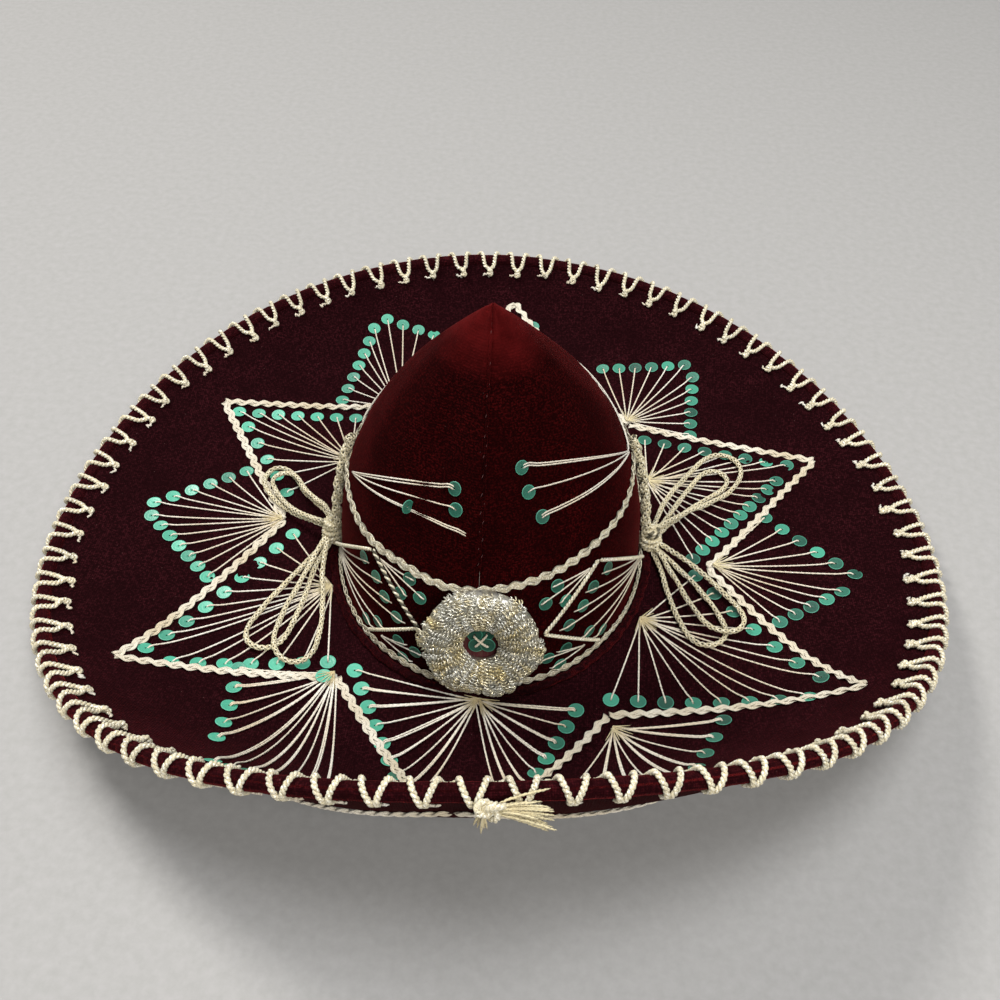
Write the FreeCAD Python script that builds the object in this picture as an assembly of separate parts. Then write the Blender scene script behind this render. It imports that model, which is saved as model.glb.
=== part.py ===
"""A wide-brimmed sombrero, as the separate pieces a hatter would put together.

Frame: millimetres, +Z up.  The origin is the middle of the head opening, on the plane
that the brim rests on.  The wearer's face looks along -Y, and +X is to the right of
someone who looks at the hat's front.

The hat is a stiffened brim board and a tall crown shell, both covered in velvet, with a
padded roll round the rim that a cord is laced over, a six-pointed star of flat braid on
the brim, fans of thread that each end in a sequin, a band between two cords, a bullion
rosette at the front, and a cord bow on each side.
"""
import FreeCAD, Part
import math
import os

V = FreeCAD.Vector

# ---------------------------------------------------------------- driving dimensions
crown_half_width = 89.5      # outer half width of the crown at its foot, along X
crown_half_depth = 106.5     # outer half depth of the crown at its foot, along Y
crown_height = 195.0
crown_lean = 13.0            # the tip stands this far in front of the middle of the foot
pinch_depth = 7.0            # the two finger dents in front, either side of the seam
pinch_angle = 28.0           # degrees from the front seam to each dent
pinch_level = 0.62           # share of the height where the dents are deepest

velvet = 0.9                 # pile fabric on board and crown
seam_width = 2.0             # folded strip over each crown seam
seam_thick = 0.9
seam_gap = 0.3               # from the seam's plane to the edge of each half
welt_offset = 6.2            # from the crown's foot to the middle of the folded welt
welt_half_width = 2.4
welt_half_height = 1.6
brim_board = 3.0             # pasteboard and felt
crown_shell = 2.0
lining = 0.7
sweatband_thick = 1.2
sweatband_high = 36.0

roll_radius = 4.0            # velvet roll round the rim, outside
filler_radius = 3.0          # cotton cord inside the roll
flat_part = 0.15             # share of the brim's width, next to the crown, that is flat
brim_turn = 6.0              # degrees that the brim's curl is turned from the front seam

sequin_diameter = 9.0
sequin_thick = 0.4
band_sequin_diameter = 7.6
thread_width = 1.1
thread_lift = 0.9            # the threads lie over the sequins' edges
braid_width = 4.6
braid_thick = 1.8
corner_gap = 3.2             # from a corner of the star to the end of its braid
rope_diameter = 3.0          # the cord of the bows
lacing_width = 2.2
lacing_count = 76
lacing_reach = 13.0          # from the middle of the roll to each stitch's inner end
lacing_knot_radius = 5.0
lacing_knot_angle = -86.0    # degrees from +X to the knot of the lacing's ends

band_height = 70.0           # upper band cord in front, above the brim's resting plane
band_rise = 9.5              # how much higher it is at the sides
band_slant = 3.5             # and how much more on the wearer's left than on the right
foot_height = 7.6            # lower band cord
band_rope_width = 2.6        # the two-coloured rope round the band's diamonds
band_rope_thick = 1.8
band_turn = 1.2              # degrees that the band sits round towards the wearer's left
taut_rise = 35.0             # degrees that a taut thread climbs out of the straight line
foot_lift = 0.8              # the lower cord stands off the crown by this much
rope_lift = 2.2              # the band's ropes lie over its threads

rosette_radius = 33.0
rosette_hole = 10.0
rosette_height = 45.0
rosette_side = 2.5           # sewn this far to the wearer's left of the seam
rosette_tilt = 18.0          # degrees that its face looks up
rosette_gap = 5.5            # from the crown to the back of its felt
rosette_depth = 6.0          # half the thickness of the ring of bullion
rosette_felt = 1.6           # its felt backing
eye_offset = 3.2             # from the middle of the eye to each sequin in it
eye_cross = 5.5              # half the length of each stitch over them

# star: angle in degrees from +X, and reach as a share of the brim's width
star_tips = [(90, 0.81), (150, 0.77), (210, 0.82), (270, 0.86), (332, 0.87), (23, 0.79)]
under_reach = (0.72, 0.92)   # the zigzag under the brim runs between these shares
star_valleys = [(121, 0.26), (176, 0.24), (234, 0.22), (301, 0.28), (356, 0.25), (54, 0.28)]

# fans of thread: origin, then rows of sequins (start, end, how many); every place is in
# degrees from +X and millimetres from the middle.  A tip fan fills one star point, and a
# valley fan opens outside one inner corner.
tip_fans = [
    ((90, 118), [((67, 150), (86, 214), 8), ((94, 214), (113, 150), 8)]),
    ((146, 118), [((133, 148), (150, 208), 7), ((152, 194), (166, 138), 5)]),
    ((205, 101), [((181, 123), (209, 212), 9), ((213, 202), (229, 129), 7)]),
    ((271, 117), [((236, 123), (263, 199), 9), ((276, 199), (295, 131), 8)]),
    ((330, 105), [((304, 133), (328, 211), 8), ((333, 211), (353, 126), 7)]),
    ((33, 116), [((-1, 124), (21, 194), 10), ((24, 207), (47, 141), 8)]),
]
valley_fans = [
    ((121, 140), [((106, 207), (114, 227), 4), ((117, 222), (132, 169), 7)]),
    ((176, 132), [((163, 171), (176, 215), 6), ((179, 213), (194, 172), 7)]),
    ((233, 132), [((219, 171), (232, 209), 5), ((238, 227), (252, 211), 7)]),
    ((300, 151), [((287, 186), (297, 212), 4), ((301, 212), (317, 183), 5)]),
    ((357, 136), [((344, 179), (353, 212), 5), ((357, 220), (372, 175), 6)]),
    ((55, 146), [((41, 168), (52, 212), 6), ((55, 218), (69, 187), 6)]),
]

apex_sequin = (232, 138)     # one sequin sits by the hole that a valley fan starts from

brim_stack = brim_board + 2 * velvet
EPS = 0.2                    # clearance between neighbouring solids


# ---------------------------------------------------------------- shape of the hat
def foot_radius(theta):
    """Distance from the middle to the crown's foot, in direction theta (radians)."""
    across = math.cos(theta) / crown_half_width
    along = math.sin(theta) / crown_half_depth
    return 1.0 / math.hypot(across, along)


def round_from_curl(theta):
    """Angle from the highest point of the curled brim, which is near the front."""
    return theta + math.pi / 2 - math.radians(brim_turn)


def rim_radius(theta):
    a = round_from_curl(theta)
    return 256.5 - 8 * math.cos(a) - 5 * math.cos(2 * a) - 3 * math.cos(3 * a)


def rim_height(theta):
    """The rim stands high in front, a little at the back, and hardly at the sides."""
    a = round_from_curl(theta)
    return 43 + 38 * math.cos(a) + 32 * math.cos(2 * a) + 6 * math.cos(3 * a)


def brim_surface(theta, s):
    """Point of the velvet's upper face; s runs from 0 at the crown to 1 at the rim."""
    foot = foot_radius(theta)
    r = foot + (rim_radius(theta) - foot) * s
    rise = max(0.0, (s - flat_part) / (1 - flat_part))
    curl = 3.1 - 0.3 * math.cos(round_from_curl(theta))
    z = brim_stack + rim_height(theta) * rise ** curl
    return V(r * math.cos(theta), r * math.sin(theta), z)


def brim_normal(theta, s):
    step = 0.004
    out = brim_surface(theta, s + step) - brim_surface(theta, s - step)
    around = brim_surface(theta + step, s) - brim_surface(theta - step, s)
    n = out.cross(around)
    n.normalize()
    return n


def on_brim(x, y, lift=0.0):
    """Point over plan position x, y, lifted off the velvet along its normal."""
    theta = math.atan2(y, x)
    foot = foot_radius(theta)
    s = (math.hypot(x, y) - foot) / (rim_radius(theta) - foot)
    n = brim_normal(theta, s)
    return brim_surface(theta, s) + n * lift, n


def plan(angle, s):
    """Plan position of a brim point given in degrees and as a share of the width."""
    p = brim_surface(math.radians(angle), s)
    return p.x, p.y


def crown_surface(theta, t, inset=0.0):
    """Point of the crown at t = 0 (foot) to 1 (tip), inset from the velvet's face."""
    top = crown_height - inset
    narrow = (1 + 0.12 * t - 0.85 * t * t) * (1 - t ** 4.6) ** 0.65
    a = (crown_half_width - inset) * narrow
    b = (crown_half_depth - inset) * narrow * (1 - 0.25 * t)
    from_front = math.degrees((theta + 1.5 * math.pi) % (2 * math.pi) - math.pi)
    dent = 0.0
    for side in (-1, 1):
        off = (from_front - side * pinch_angle) / 16.0
        dent += pinch_depth * math.exp(-off * off - ((t - pinch_level) / 0.2) ** 2)
    return V((a - dent) * math.cos(theta),
             (b - dent) * math.sin(theta) - crown_lean * t ** 1.8, top * t)


def on_crown(from_front, z, lift=0.0):
    """Point of the crown, from_front degrees round from the seam towards +X, at height z."""
    theta = math.radians(from_front - 90)
    t = z / crown_height
    step = 0.01
    up = crown_surface(theta, t + step) - crown_surface(theta, max(0, t - step))
    around = crown_surface(theta + step, t) - crown_surface(theta - step, t)
    n = around.cross(up)
    n.normalize()
    return crown_surface(theta, t) + n * lift, n


# ---------------------------------------------------------------- solid makers
def smooth_ring(points):
    curve = Part.BSplineCurve()
    curve.interpolate(points, PeriodicFlag=True)
    return Part.Wire([curve.toShape()])


def angles(count):
    return [2 * math.pi * i / count for i in range(count)]


def ring_solid(rings):
    """Closed solid whose skin passes through each ring and back to the first."""
    wires = [smooth_ring(r) for r in rings]
    faces = []
    for one, two in zip(wires, wires[1:] + wires[:1]):
        faces += Part.makeRuledSurface(one, two).Faces
    shell = Part.makeShell(faces)
    shell.sewShape()
    solid = Part.makeSolid(Part.makeShell(shell.Faces))
    if solid.Volume < 0:
        solid.reverse()
    return solid


def brim_layer(top, bottom, gap=4.4, count=48):
    """A layer of the brim between two depths under the velvet's face, up to the roll."""
    shares = [0.0, 0.15, 0.3, 0.42, 0.54, 0.65, 0.75, 0.84, 0.92, 1.0]
    rows = {}
    for depth in (top, bottom):
        rows[depth] = []
        for share in shares:
            ring = []
            for th in angles(count):
                speed = (brim_surface(th, 1.0) - brim_surface(th, 0.99)).Length * 100
                s = (1 - gap / speed) * share + EPS / speed
                ring.append(brim_surface(th, s) - brim_normal(th, s) * depth)
            rows[depth].append(ring)
    return ring_solid(rows[top] + rows[bottom][::-1])


def rim_tube(radius, count=48, sides=12):
    """Tube round the rim, centred half-way through the brim's thickness."""
    rings = []
    for k in range(sides):
        a = 2 * math.pi * k / sides
        ring = []
        for th in angles(count):
            n = brim_normal(th, 1.0)
            along = brim_surface(th + 0.01, 1.0) - brim_surface(th - 0.01, 1.0)
            along.normalize()
            out = along.cross(n)
            centre = brim_surface(th, 1.0) - n * (brim_stack / 2)
            ring.append(centre + n * (radius * math.sin(a)) + out * (radius * math.cos(a)))
        rings.append(ring)
    return ring_solid(rings)


def crown_solid(inset, bottom=0.0):
    """Filled crown, inset from the velvet's face, from its foot to its tip."""
    levels = [0.0, 0.12, 0.25, 0.38, 0.5, 0.62, 0.72, 0.8, 0.87, 0.93, 0.97, 0.992]
    wires = []
    for t in levels:
        ring = [crown_surface(th, t, inset) for th in angles(48)]
        wires.append(smooth_ring(ring))
    body = Part.makeLoft(wires, True, True)
    if bottom < 0:
        foot = [V(p.x, p.y, 0) for p in (crown_surface(th, 0.0, inset) for th in angles(48))]
        low = [V(p.x, p.y, bottom) for p in foot]
        skirt = Part.makeLoft([smooth_ring(low), smooth_ring(foot)], True, True)
        body = body.fuse(skirt)
    return body


def crown_layer(outside, inside):
    return crown_solid(outside).cut(crown_solid(inside, bottom=-2.0))


def strip(path, width, thick):
    """Flat strip along (point, normal) pairs, its inner face on the points."""
    wires = []
    last = len(path) - 1
    for i, (p, n) in enumerate(path):
        ahead = path[min(i + 1, last)][0] - path[max(i - 1, 0)][0]
        side = n.cross(ahead)
        side.normalize()
        half = side * (width / 2)
        corners = [p - half, p + half, p + half + n * thick, p - half + n * thick]
        wires.append(Part.makePolygon(corners + corners[:1]))
    solid = Part.makeLoft(wires, True, True)
    if solid.Volume < 0:
        solid.reverse()
    return solid


def disc(point, normal, radius, thick):
    return Part.makeCylinder(radius, thick, point, normal)


def crown_band(level, width, thick, lift):
    """Flat cord round the crown; level gives its height in each direction."""
    corners = [(-0.5, lift), (-0.5, lift + thick), (0.5, lift + thick), (0.5, lift)]
    rings = []
    for share, out in corners:
        ring = []
        for th in angles(48):
            ring.append(on_crown(math.degrees(th), level(th) + share * width, out)[0])
        rings.append(ring)
    return ring_solid(rings)


# ---------------------------------------------------------------- brim and rim
def make_brim():
    parts["brim_top_velvet"] = brim_layer(0.0, velvet)
    parts["brim_board"] = brim_layer(velvet, velvet + brim_board)
    parts["brim_under_velvet"] = brim_layer(velvet + brim_board, brim_stack)
    parts["rim_filler_cord"] = rim_tube(filler_radius - EPS)
    parts["rim_velvet_roll"] = rim_tube(roll_radius).cut(rim_tube(filler_radius))


def make_crown():
    skin = crown_layer(0.0, velvet)
    tall = crown_height + 10
    wide = 2 * crown_half_depth
    for side, name in ((-1, "left"), (1, "right")):
        x = seam_gap if side > 0 else -wide - seam_gap
        half = Part.makeBox(wide, 2 * wide, tall, V(x, -wide, -5))
        parts["crown_velvet_" + name] = skin.common(half)
    parts["crown_shell"] = crown_layer(velvet, velvet + crown_shell)
    depth = velvet + crown_shell
    parts["crown_lining"] = crown_layer(depth, depth + lining)
    depth += lining
    ring = crown_solid(depth + EPS).cut(crown_solid(depth + EPS + sweatband_thick, -2.0))
    slab = Part.makeBox(2 * wide, 2 * wide, sweatband_high, V(-wide, -wide, 0.5))
    parts["sweatband"] = ring.common(slab)
    for name, front in (("front", 0), ("rear", 180)):
        levels = [80, 96, 112, 128, 144, 158, 170, 180, 187]
        if name == "rear":
            levels = [13, 27, 43, 60] + levels
        path = [on_crown(front, z, EPS) for z in levels]
        parts["crown_seam_" + name] = strip(path, seam_width, seam_thick)


def make_foot_welt():
    """Folded velvet strip that hides where crown and brim are sewn together."""
    rings = []
    for k in range(8):
        a = 2 * math.pi * k / 8
        ring = []
        for th in angles(48):
            r = foot_radius(th) + welt_offset + welt_half_width * math.cos(a)
            z = brim_stack + EPS + welt_half_height * (1 + math.sin(a))
            ring.append(V(r * math.cos(th), r * math.sin(th), z))
        rings.append(ring)
    parts["foot_welt"] = ring_solid(rings)


# ---------------------------------------------------------------- star and fans
def brim_line(start, end, steps, lift):
    """Points over the brim from one plan position to another, with their normals."""
    path = []
    for i in range(steps + 1):
        f = i / steps
        path.append(on_brim(start[0] + (end[0] - start[0]) * f,
                            start[1] + (end[1] - start[1]) * f, lift))
    return path


def shortened(start, end, trim):
    dx, dy = end[0] - start[0], end[1] - start[1]
    length = math.hypot(dx, dy)
    k = trim / length
    return ((start[0] + dx * k, start[1] + dy * k), (end[0] - dx * k, end[1] - dy * k))


def star_corners():
    corners = []
    for tip, valley in zip(star_tips, star_valleys):
        corners.append(plan(*tip))
        corners.append(plan(*valley))
    return corners


def make_star():
    corners = star_corners()
    edges = []
    for start, end in zip(corners, corners[1:] + corners[:1]):
        a, b = shortened(start, end, corner_gap)
        edges.append(strip(brim_line(a, b, 7, EPS), braid_width, braid_thick))
    parts["star_braid"] = Part.makeCompound(edges)


def make_under_braid():
    """A shallow zigzag of the same braid near the rim, under the brim."""
    corners = []
    for tip, valley in zip(star_tips, star_valleys):
        corners.append((tip[0], under_reach[1]))
        corners.append((valley[0], under_reach[0]))
    edges = []
    for (a0, s0), (a1, s1) in zip(corners, corners[1:] + corners[:1]):
        turn = (a1 - a0 + 180) % 360 - 180
        path = []
        for i in range(9):
            f = 0.02 + 0.96 * i / 8
            theta, s = math.radians(a0 + turn * f), s0 + (s1 - s0) * f
            n = brim_normal(theta, s)
            path.append((brim_surface(theta, s) - n * (brim_stack + EPS), n * -1))
        edges.append(strip(path, braid_width, braid_thick))
    parts["under_braid"] = Part.makeCompound(edges)


def polar(angle, distance):
    a = math.radians(angle)
    return distance * math.cos(a), distance * math.sin(a)


def fan_places(rows):
    """Plan places of a fan's sequins, evenly spaced along each of its rows."""
    places = []
    for start, end, count in rows:
        x0, y0 = polar(*start)
        x1, y1 = polar(*end)
        for i in range(count):
            f = i / (count - 1)
            places.append((x0 + (x1 - x0) * f, y0 + (y1 - y0) * f))
    return places


def brim_sequin(x, y):
    p, n = on_brim(x, y, 0.3)
    return disc(p, n, sequin_diameter / 2, sequin_thick)


def make_fans():
    for kind, fans in (("tip", tip_fans), ("valley", valley_fans)):
        sequins = []
        for k, (origin, rows) in enumerate(fans):
            threads = []
            for place in fan_places(rows):
                path = brim_line(polar(*origin), place, 4, thread_lift)
                threads.append(strip(path, thread_width, thread_width))
                sequins.append(brim_sequin(*place))
            parts["%s_fan_threads_%d" % (kind, k + 1)] = Part.makeCompound(threads)
        if kind == "valley":
            sequins.append(brim_sequin(*polar(*apex_sequin)))
        parts["%s_fan_sequins" % kind] = Part.makeCompound(sequins)


# ---------------------------------------------------------------- band and rosette
# places on the crown: degrees round from the front seam, height above the plane
band_motif = {
    "corners": [(80, 22), (48, 67), (24, 38), (50, 9)],
    "fans": [((80, 23), [(51, 57), (43, 53), (38, 45), (32, 37), (41, 23), (48, 15)]),
             ((45, 65), [(28, 65), (23, 57), (31, 54)]),
             ((44, 13), [(31, 21), (24, 19), (29, 10)])],
}
side_fans = {
    "left": ((77, 84), [(15, 117), (13, 108), (8, 98)]),
    "right": ((90, 91), [(19, 126), (21, 114), (26, 101)]),
}


def band_level(theta):
    """Height of the upper band cord in direction theta."""
    from_front = theta + math.pi / 2
    return (band_height + band_rise * math.sin(from_front) ** 2
            + band_slant * math.sin(from_front))


def crown_line(start, end, steps, lift):
    """A taut line over the crown: the straight line between its ends, pushed out to it."""
    first, last = on_crown(*start)[0], on_crown(*end)[0]
    middle = math.radians((start[0] + end[0]) / 2 - 90)
    rise = math.radians(taut_rise)
    push = V(math.cos(rise) * math.cos(middle), math.cos(rise) * math.sin(middle),
             math.sin(rise))
    path = []
    for i in range(steps + 1):
        p = first + (last - first) * (i / steps)
        for _ in range(12):
            forward = crown_lean * (p.z / crown_height) ** 1.8
            from_front = math.degrees(math.atan2(p.x, -forward - p.y))
            surface, normal = on_crown(from_front, p.z, lift)
            p = p + push * (0.8 * (surface - p).dot(push))
        path.append((surface, normal))
    return path


def quarters(side):
    """The motif's two places on one side of the hat: in front, and mirrored behind."""
    def front(place):
        return side * place[0] + band_turn, place[1]

    def back(place):
        return side * (180 - place[0]) + band_turn, place[1]
    return front, back


def thread_fan(fan, where, threads, sequins):
    origin, places = fan
    for place in places:
        path = crown_line(where(origin), where(place), 5, thread_lift)
        threads.append(strip(path, thread_width, thread_width))
        p, n = on_crown(*where(place), 0.3)
        sequins.append(disc(p, n, band_sequin_diameter / 2, sequin_thick))


def make_band():
    parts["band_upper_cord"] = crown_band(band_level, braid_width, braid_thick, EPS)
    parts["band_lower_cord"] = crown_band(lambda theta: foot_height, braid_width - 1,
                                          braid_thick, foot_lift)
    for side, name in ((-1, "left"), (1, "right")):
        ropes, threads, sequins, high_threads, high_sequins = [], [], [], [], []
        for where in quarters(side):
            corners = [where(c) for c in band_motif["corners"]]
            for start, end in zip(corners, corners[1:]):
                path = crown_line(start, end, 4, rope_lift)
                ropes.append(strip(path, band_rope_width, band_rope_thick))
            for fan in band_motif["fans"]:
                thread_fan(fan, where, threads, sequins)
            thread_fan(side_fans[name], where, high_threads, high_sequins)
        parts["band_rope_" + name] = Part.makeCompound(ropes)
        parts["band_threads_" + name] = Part.makeCompound(threads)
        parts["band_sequins_" + name] = Part.makeCompound(sequins)
        parts["crown_fan_threads_" + name] = Part.makeCompound(high_threads)
        parts["crown_fan_sequins_" + name] = Part.makeCompound(high_sequins)


def make_rosette():
    """Ring of metal bullion on a felt disc, with four sewn sequins in its eye."""
    tilt = math.radians(rosette_tilt)
    n = V(0, -math.cos(tilt), math.sin(tilt))
    up = V(0, math.sin(tilt), math.cos(tilt))
    right = V(1, 0, 0)
    face = on_crown(0, rosette_height)[0] + n * rosette_gap + right * rosette_side
    parts["rosette_backing"] = disc(face, n, rosette_radius - 5, rosette_felt)
    middle = (rosette_radius + rosette_hole) / 2
    broad = (rosette_radius - rosette_hole) / 2
    deep = rosette_depth
    seat = face + n * (rosette_felt + EPS + deep)
    ellipse = Part.Ellipse(seat + right * middle + right * broad,
                           seat + right * middle + n * deep, seat + right * middle)
    profile = Part.Face(Part.Wire([ellipse.toShape()]))
    parts["rosette_ring"] = profile.revolve(seat, n, 360)
    sequins, stitches = [], []
    for k in range(4):
        a = math.radians(45 + 90 * k)
        across = (right * math.cos(a) + up * math.sin(a)) * eye_offset
        lift = rosette_felt + EPS + k * (sequin_thick + 0.1)
        sequins.append(disc(face + across + n * lift, n, sequin_diameter / 2, sequin_thick))
    top = rosette_felt + EPS + 4 * (sequin_thick + 0.1)
    for k, a in enumerate((45, 135)):
        a = math.radians(a)
        reach = (right * math.cos(a) + up * math.sin(a)) * eye_cross
        base = face + n * (top + 0.1 + k * 1.0)
        stitches.append(strip([(base - reach, n), (base + reach, n)], 1.0, 0.8))
    parts["rosette_sequins"] = Part.makeCompound(sequins)
    parts["rosette_stitches"] = Part.makeCompound(stitches)


# ---------------------------------------------------------------- bows
bow_knots = {"left": (-96, -8), "right": (97, 2)}
knot_radius = 6.0
knot_foot, knot_top = 9.7, 29.0
bundle_width, bundle_thick = 10.0, 6.0
bundle_lift = 2.8            # the bundles hang in front of the band's upper cord
# each bundle's places on the crown: degrees round from the front seam, height
bow_bundles = {
    "left": [(-93, 87), (-91, 75), (-89, 62), (-87, 50), (-86, 39), (-85, 29.5)],
    "right": [(99, 89), (98, 76), (96, 63), (94, 51), (92, 39), (91, 29.5)],
}
# Plan positions along each loop of cord, and height over the velvet; the loop starts and
# ends in the knot at the foot of the crown.
bow_loops = {
    "left_upper_under": [(-97, -5, 17), (-104, 9, 14), (-114, 20, 9), (-124, 34, 5),
                         (-133, 50, 4), (-145, 53, 4), (-151, 41, 4), (-144, 28, 4),
                         (-131, 15, 5), (-116, 4, 9), (-99, -6, 14)],
    "left_upper_over": [(-97, -5, 21), (-102, 7, 18.5), (-111, 16, 14.5), (-120, 27, 11),
                        (-128, 41, 9), (-137, 45, 8), (-144, 37, 8), (-138, 25, 8.5),
                        (-127, 12, 9.5), (-114, 2, 13), (-98, -7, 18)],
    "left_lower_outer": [(-99, -11, 6), (-107, -23, 5), (-115, -38, 4), (-127, -60, 4),
                         (-136, -85, 4), (-127, -95, 4), (-113, -92, 4), (-108, -71, 4),
                         (-105, -49, 4), (-104, -30, 5), (-98, -13, 6)],
    "left_lower_inner": [(-99, -10, 12), (-104, -26, 10), (-109, -46, 8), (-116, -71, 7),
                         (-117, -96, 8), (-105, -104, 4), (-93, -97, 4), (-92, -74, 4),
                         (-95, -52, 5), (-99, -32, 9), (-98, -11, 12)],
    "right_upper_outer": [(98, 4, 20), (102, 20, 18), (110, 42, 12), (122, 64, 7),
                          (137, 88, 4), (152, 89, 4), (160, 76, 4), (153, 57, 4),
                          (137, 42, 6), (119, 27, 11), (100, 6, 18)],
    "right_upper_inner": [(99, 4, 14), (107, 20, 11), (117, 42, 7), (127, 61, 4.5),
                          (133, 71, 4), (142, 74, 4), (149, 68, 4), (148, 59, 4),
                          (136, 48, 4), (120, 32, 7), (101, 5, 13)],
    "right_lower_outer": [(98, -1, 6), (103, -12, 5), (106, -28, 4), (111, -48, 4),
                          (120, -70, 4), (134, -72, 4), (142, -61, 4), (133, -40, 4),
                          (120, -21, 5), (101, -1, 7)],
    "right_lower_inner": [(101, 0, 12), (111, -6, 10), (124, -15, 8), (140, -31, 5),
                          (153, -50, 5), (147, -64, 8), (132, -64, 8), (120, -46, 8),
                          (111, -25, 9), (99, -2, 11)],
}


def loop_tube(route, radius):
    """Tube along straight runs joined by tangent arcs; prints its tightest arc."""
    points = [on_brim(x, y, lift)[0] for x, y, lift in route]
    edges = []
    radii = []
    start = points[0]
    for before, corner, after in zip(points, points[1:], points[2:]):
        back, ahead = before - corner, after - corner
        run = min(back.Length, ahead.Length)
        turn = math.pi - back.getAngle(ahead)
        arc_radius = 0.45 * run / math.tan(turn / 2)
        radii.append(arc_radius)
        back.normalize()
        ahead.normalize()
        enter, leave = corner + back * (0.45 * run), corner + ahead * (0.45 * run)
        bisector = back + ahead
        bisector.normalize()
        middle = corner + bisector * (arc_radius / math.cos(turn / 2) - arc_radius)
        edges.append(Part.LineSegment(start, enter).toShape())
        edges.append(Part.Arc(enter, middle, leave).toShape())
        start = leave
    edges.append(Part.LineSegment(start, points[-1]).toShape())
    path = Part.Wire(edges)
    first = points[1] - points[0]
    circle = Part.Wire([Part.makeCircle(radius, points[0], first)])
    tube = path.makePipeShell([circle], True, False, 2)
    print("length %.0f mm, tightest arc %.1f mm, volume ratio %.3f"
          % (path.Length, min(radii), tube.Volume / (math.pi * radius ** 2 * path.Length)))
    return tube


def make_bows():
    for name, places in bow_bundles.items():
        path = [on_crown(from_front, z, bundle_lift) for from_front, z in places]
        parts["bow_bundle_" + name] = strip(path, bundle_width, bundle_thick)
        x, y = bow_knots[name]
        parts["bow_knot_" + name] = Part.makeCylinder(
            knot_radius, knot_top - knot_foot, V(x, y, knot_foot))
    for name, route in bow_loops.items():
        print(name, end=": ")
        parts["bow_loop_" + name] = loop_tube(route, rope_diameter / 2)


# ---------------------------------------------------------------- rim lacing
def roll_point(theta, around, radius):
    """Point round the rim roll: around = 90 faces up off the brim, 0 faces outwards."""
    n = brim_normal(theta, 1.0)
    along = brim_surface(theta + 0.01, 1.0) - brim_surface(theta - 0.01, 1.0)
    along.normalize()
    out = along.cross(n)
    a = math.radians(around)
    direction = n * math.sin(a) + out * math.cos(a)
    return brim_surface(theta, 1.0) - n * (brim_stack / 2) + direction * radius, direction


def lacing_leg(theta, other):
    """One pass of the cord from its anchor on top, over the roll, to the anchor below."""
    speed = (brim_surface(theta, 1.0) - brim_surface(theta, 0.99)).Length * 100
    s = 1 - lacing_reach / speed
    n = brim_normal(theta, s)
    path = [(brim_surface(theta, s) + n * EPS, n)]
    for f, around in ((0.25, 95), (0.5, 45), (0.7, 0), (0.85, -50), (1.0, -100)):
        path.append(roll_point(theta + (other - theta) * f, around, roll_radius + EPS))
    return strip(path, lacing_width, lacing_width * 0.8)


def make_lacing():
    pitch = 2 * math.pi / lacing_count
    legs = []
    for k in range(lacing_count):
        theta = pitch * k
        for side in (-1, 1):
            legs.append(lacing_leg(theta + side * 0.004, theta + side * (pitch / 2 - 0.004)))
    parts["rim_lacing_cord"] = Part.makeCompound(legs)
    p, n = roll_point(math.radians(lacing_knot_angle), -60, roll_radius)
    knot = Part.makeSphere(lacing_knot_radius, p + n * (lacing_knot_radius + 0.6))
    parts["rim_lacing_knot"] = knot


parts = {}
make_brim()
make_crown()
make_foot_welt()
make_star()
make_under_braid()
make_fans()
make_band()
make_rosette()
make_bows()
make_lacing()

os.makedirs("parts", exist_ok=True)
for name, shape in parts.items():
    if not shape.isValid():
        print("not valid:", name)
    shape.exportStep("parts/%s.step" % name)
print(len(parts), "sub-parts")
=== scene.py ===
# %% [markdown]
# # A velvet sombrero, from its measured frame to its finished looks
# The hat has already been drawn as solids, and that imported model is the fixed frame here.
# Each lesson below takes one piece of the real hat, says what it is and how a maker puts it
# together, and then builds it as a fine mesh with its own finish.  The frame is loaded
# first.

# %% Load the frame
import math

import bpy
import numpy as np
from mathutils import Matrix, Vector


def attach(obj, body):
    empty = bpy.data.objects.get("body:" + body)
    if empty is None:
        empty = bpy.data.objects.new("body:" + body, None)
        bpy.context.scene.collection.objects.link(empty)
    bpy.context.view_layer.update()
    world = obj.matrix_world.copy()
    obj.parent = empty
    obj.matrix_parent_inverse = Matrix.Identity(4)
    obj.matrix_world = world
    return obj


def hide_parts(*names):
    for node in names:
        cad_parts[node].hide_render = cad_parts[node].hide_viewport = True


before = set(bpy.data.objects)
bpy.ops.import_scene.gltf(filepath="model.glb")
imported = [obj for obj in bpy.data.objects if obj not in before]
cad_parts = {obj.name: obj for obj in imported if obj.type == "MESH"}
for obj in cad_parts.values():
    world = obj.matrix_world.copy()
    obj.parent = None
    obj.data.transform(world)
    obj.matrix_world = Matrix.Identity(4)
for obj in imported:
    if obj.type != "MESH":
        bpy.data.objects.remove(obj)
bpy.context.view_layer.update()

# %% [markdown]
# ## The camera
# The hat lies on a table and is looked at from in front, about forty-five degrees down,
# with the camera turned a degree or so.  A camera looks along its own -Z, so its matrix is
# built from three axes: right, up, and the reverse of the looking direction.

# %% Camera
camera_place = Vector((0.0319, -0.4937, 0.5463))
turned, looks_down, rolled = math.radians(3.13), math.radians(45.43), math.radians(1.26)
looking = Vector((-math.sin(turned) * math.cos(looks_down),
                  math.cos(turned) * math.cos(looks_down), -math.sin(looks_down)))
level = Vector((math.cos(turned), math.sin(turned), 0))
above = level.cross(looking)
right = level * math.cos(rolled) + above * math.sin(rolled)
up = above * math.cos(rolled) - level * math.sin(rolled)

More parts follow.
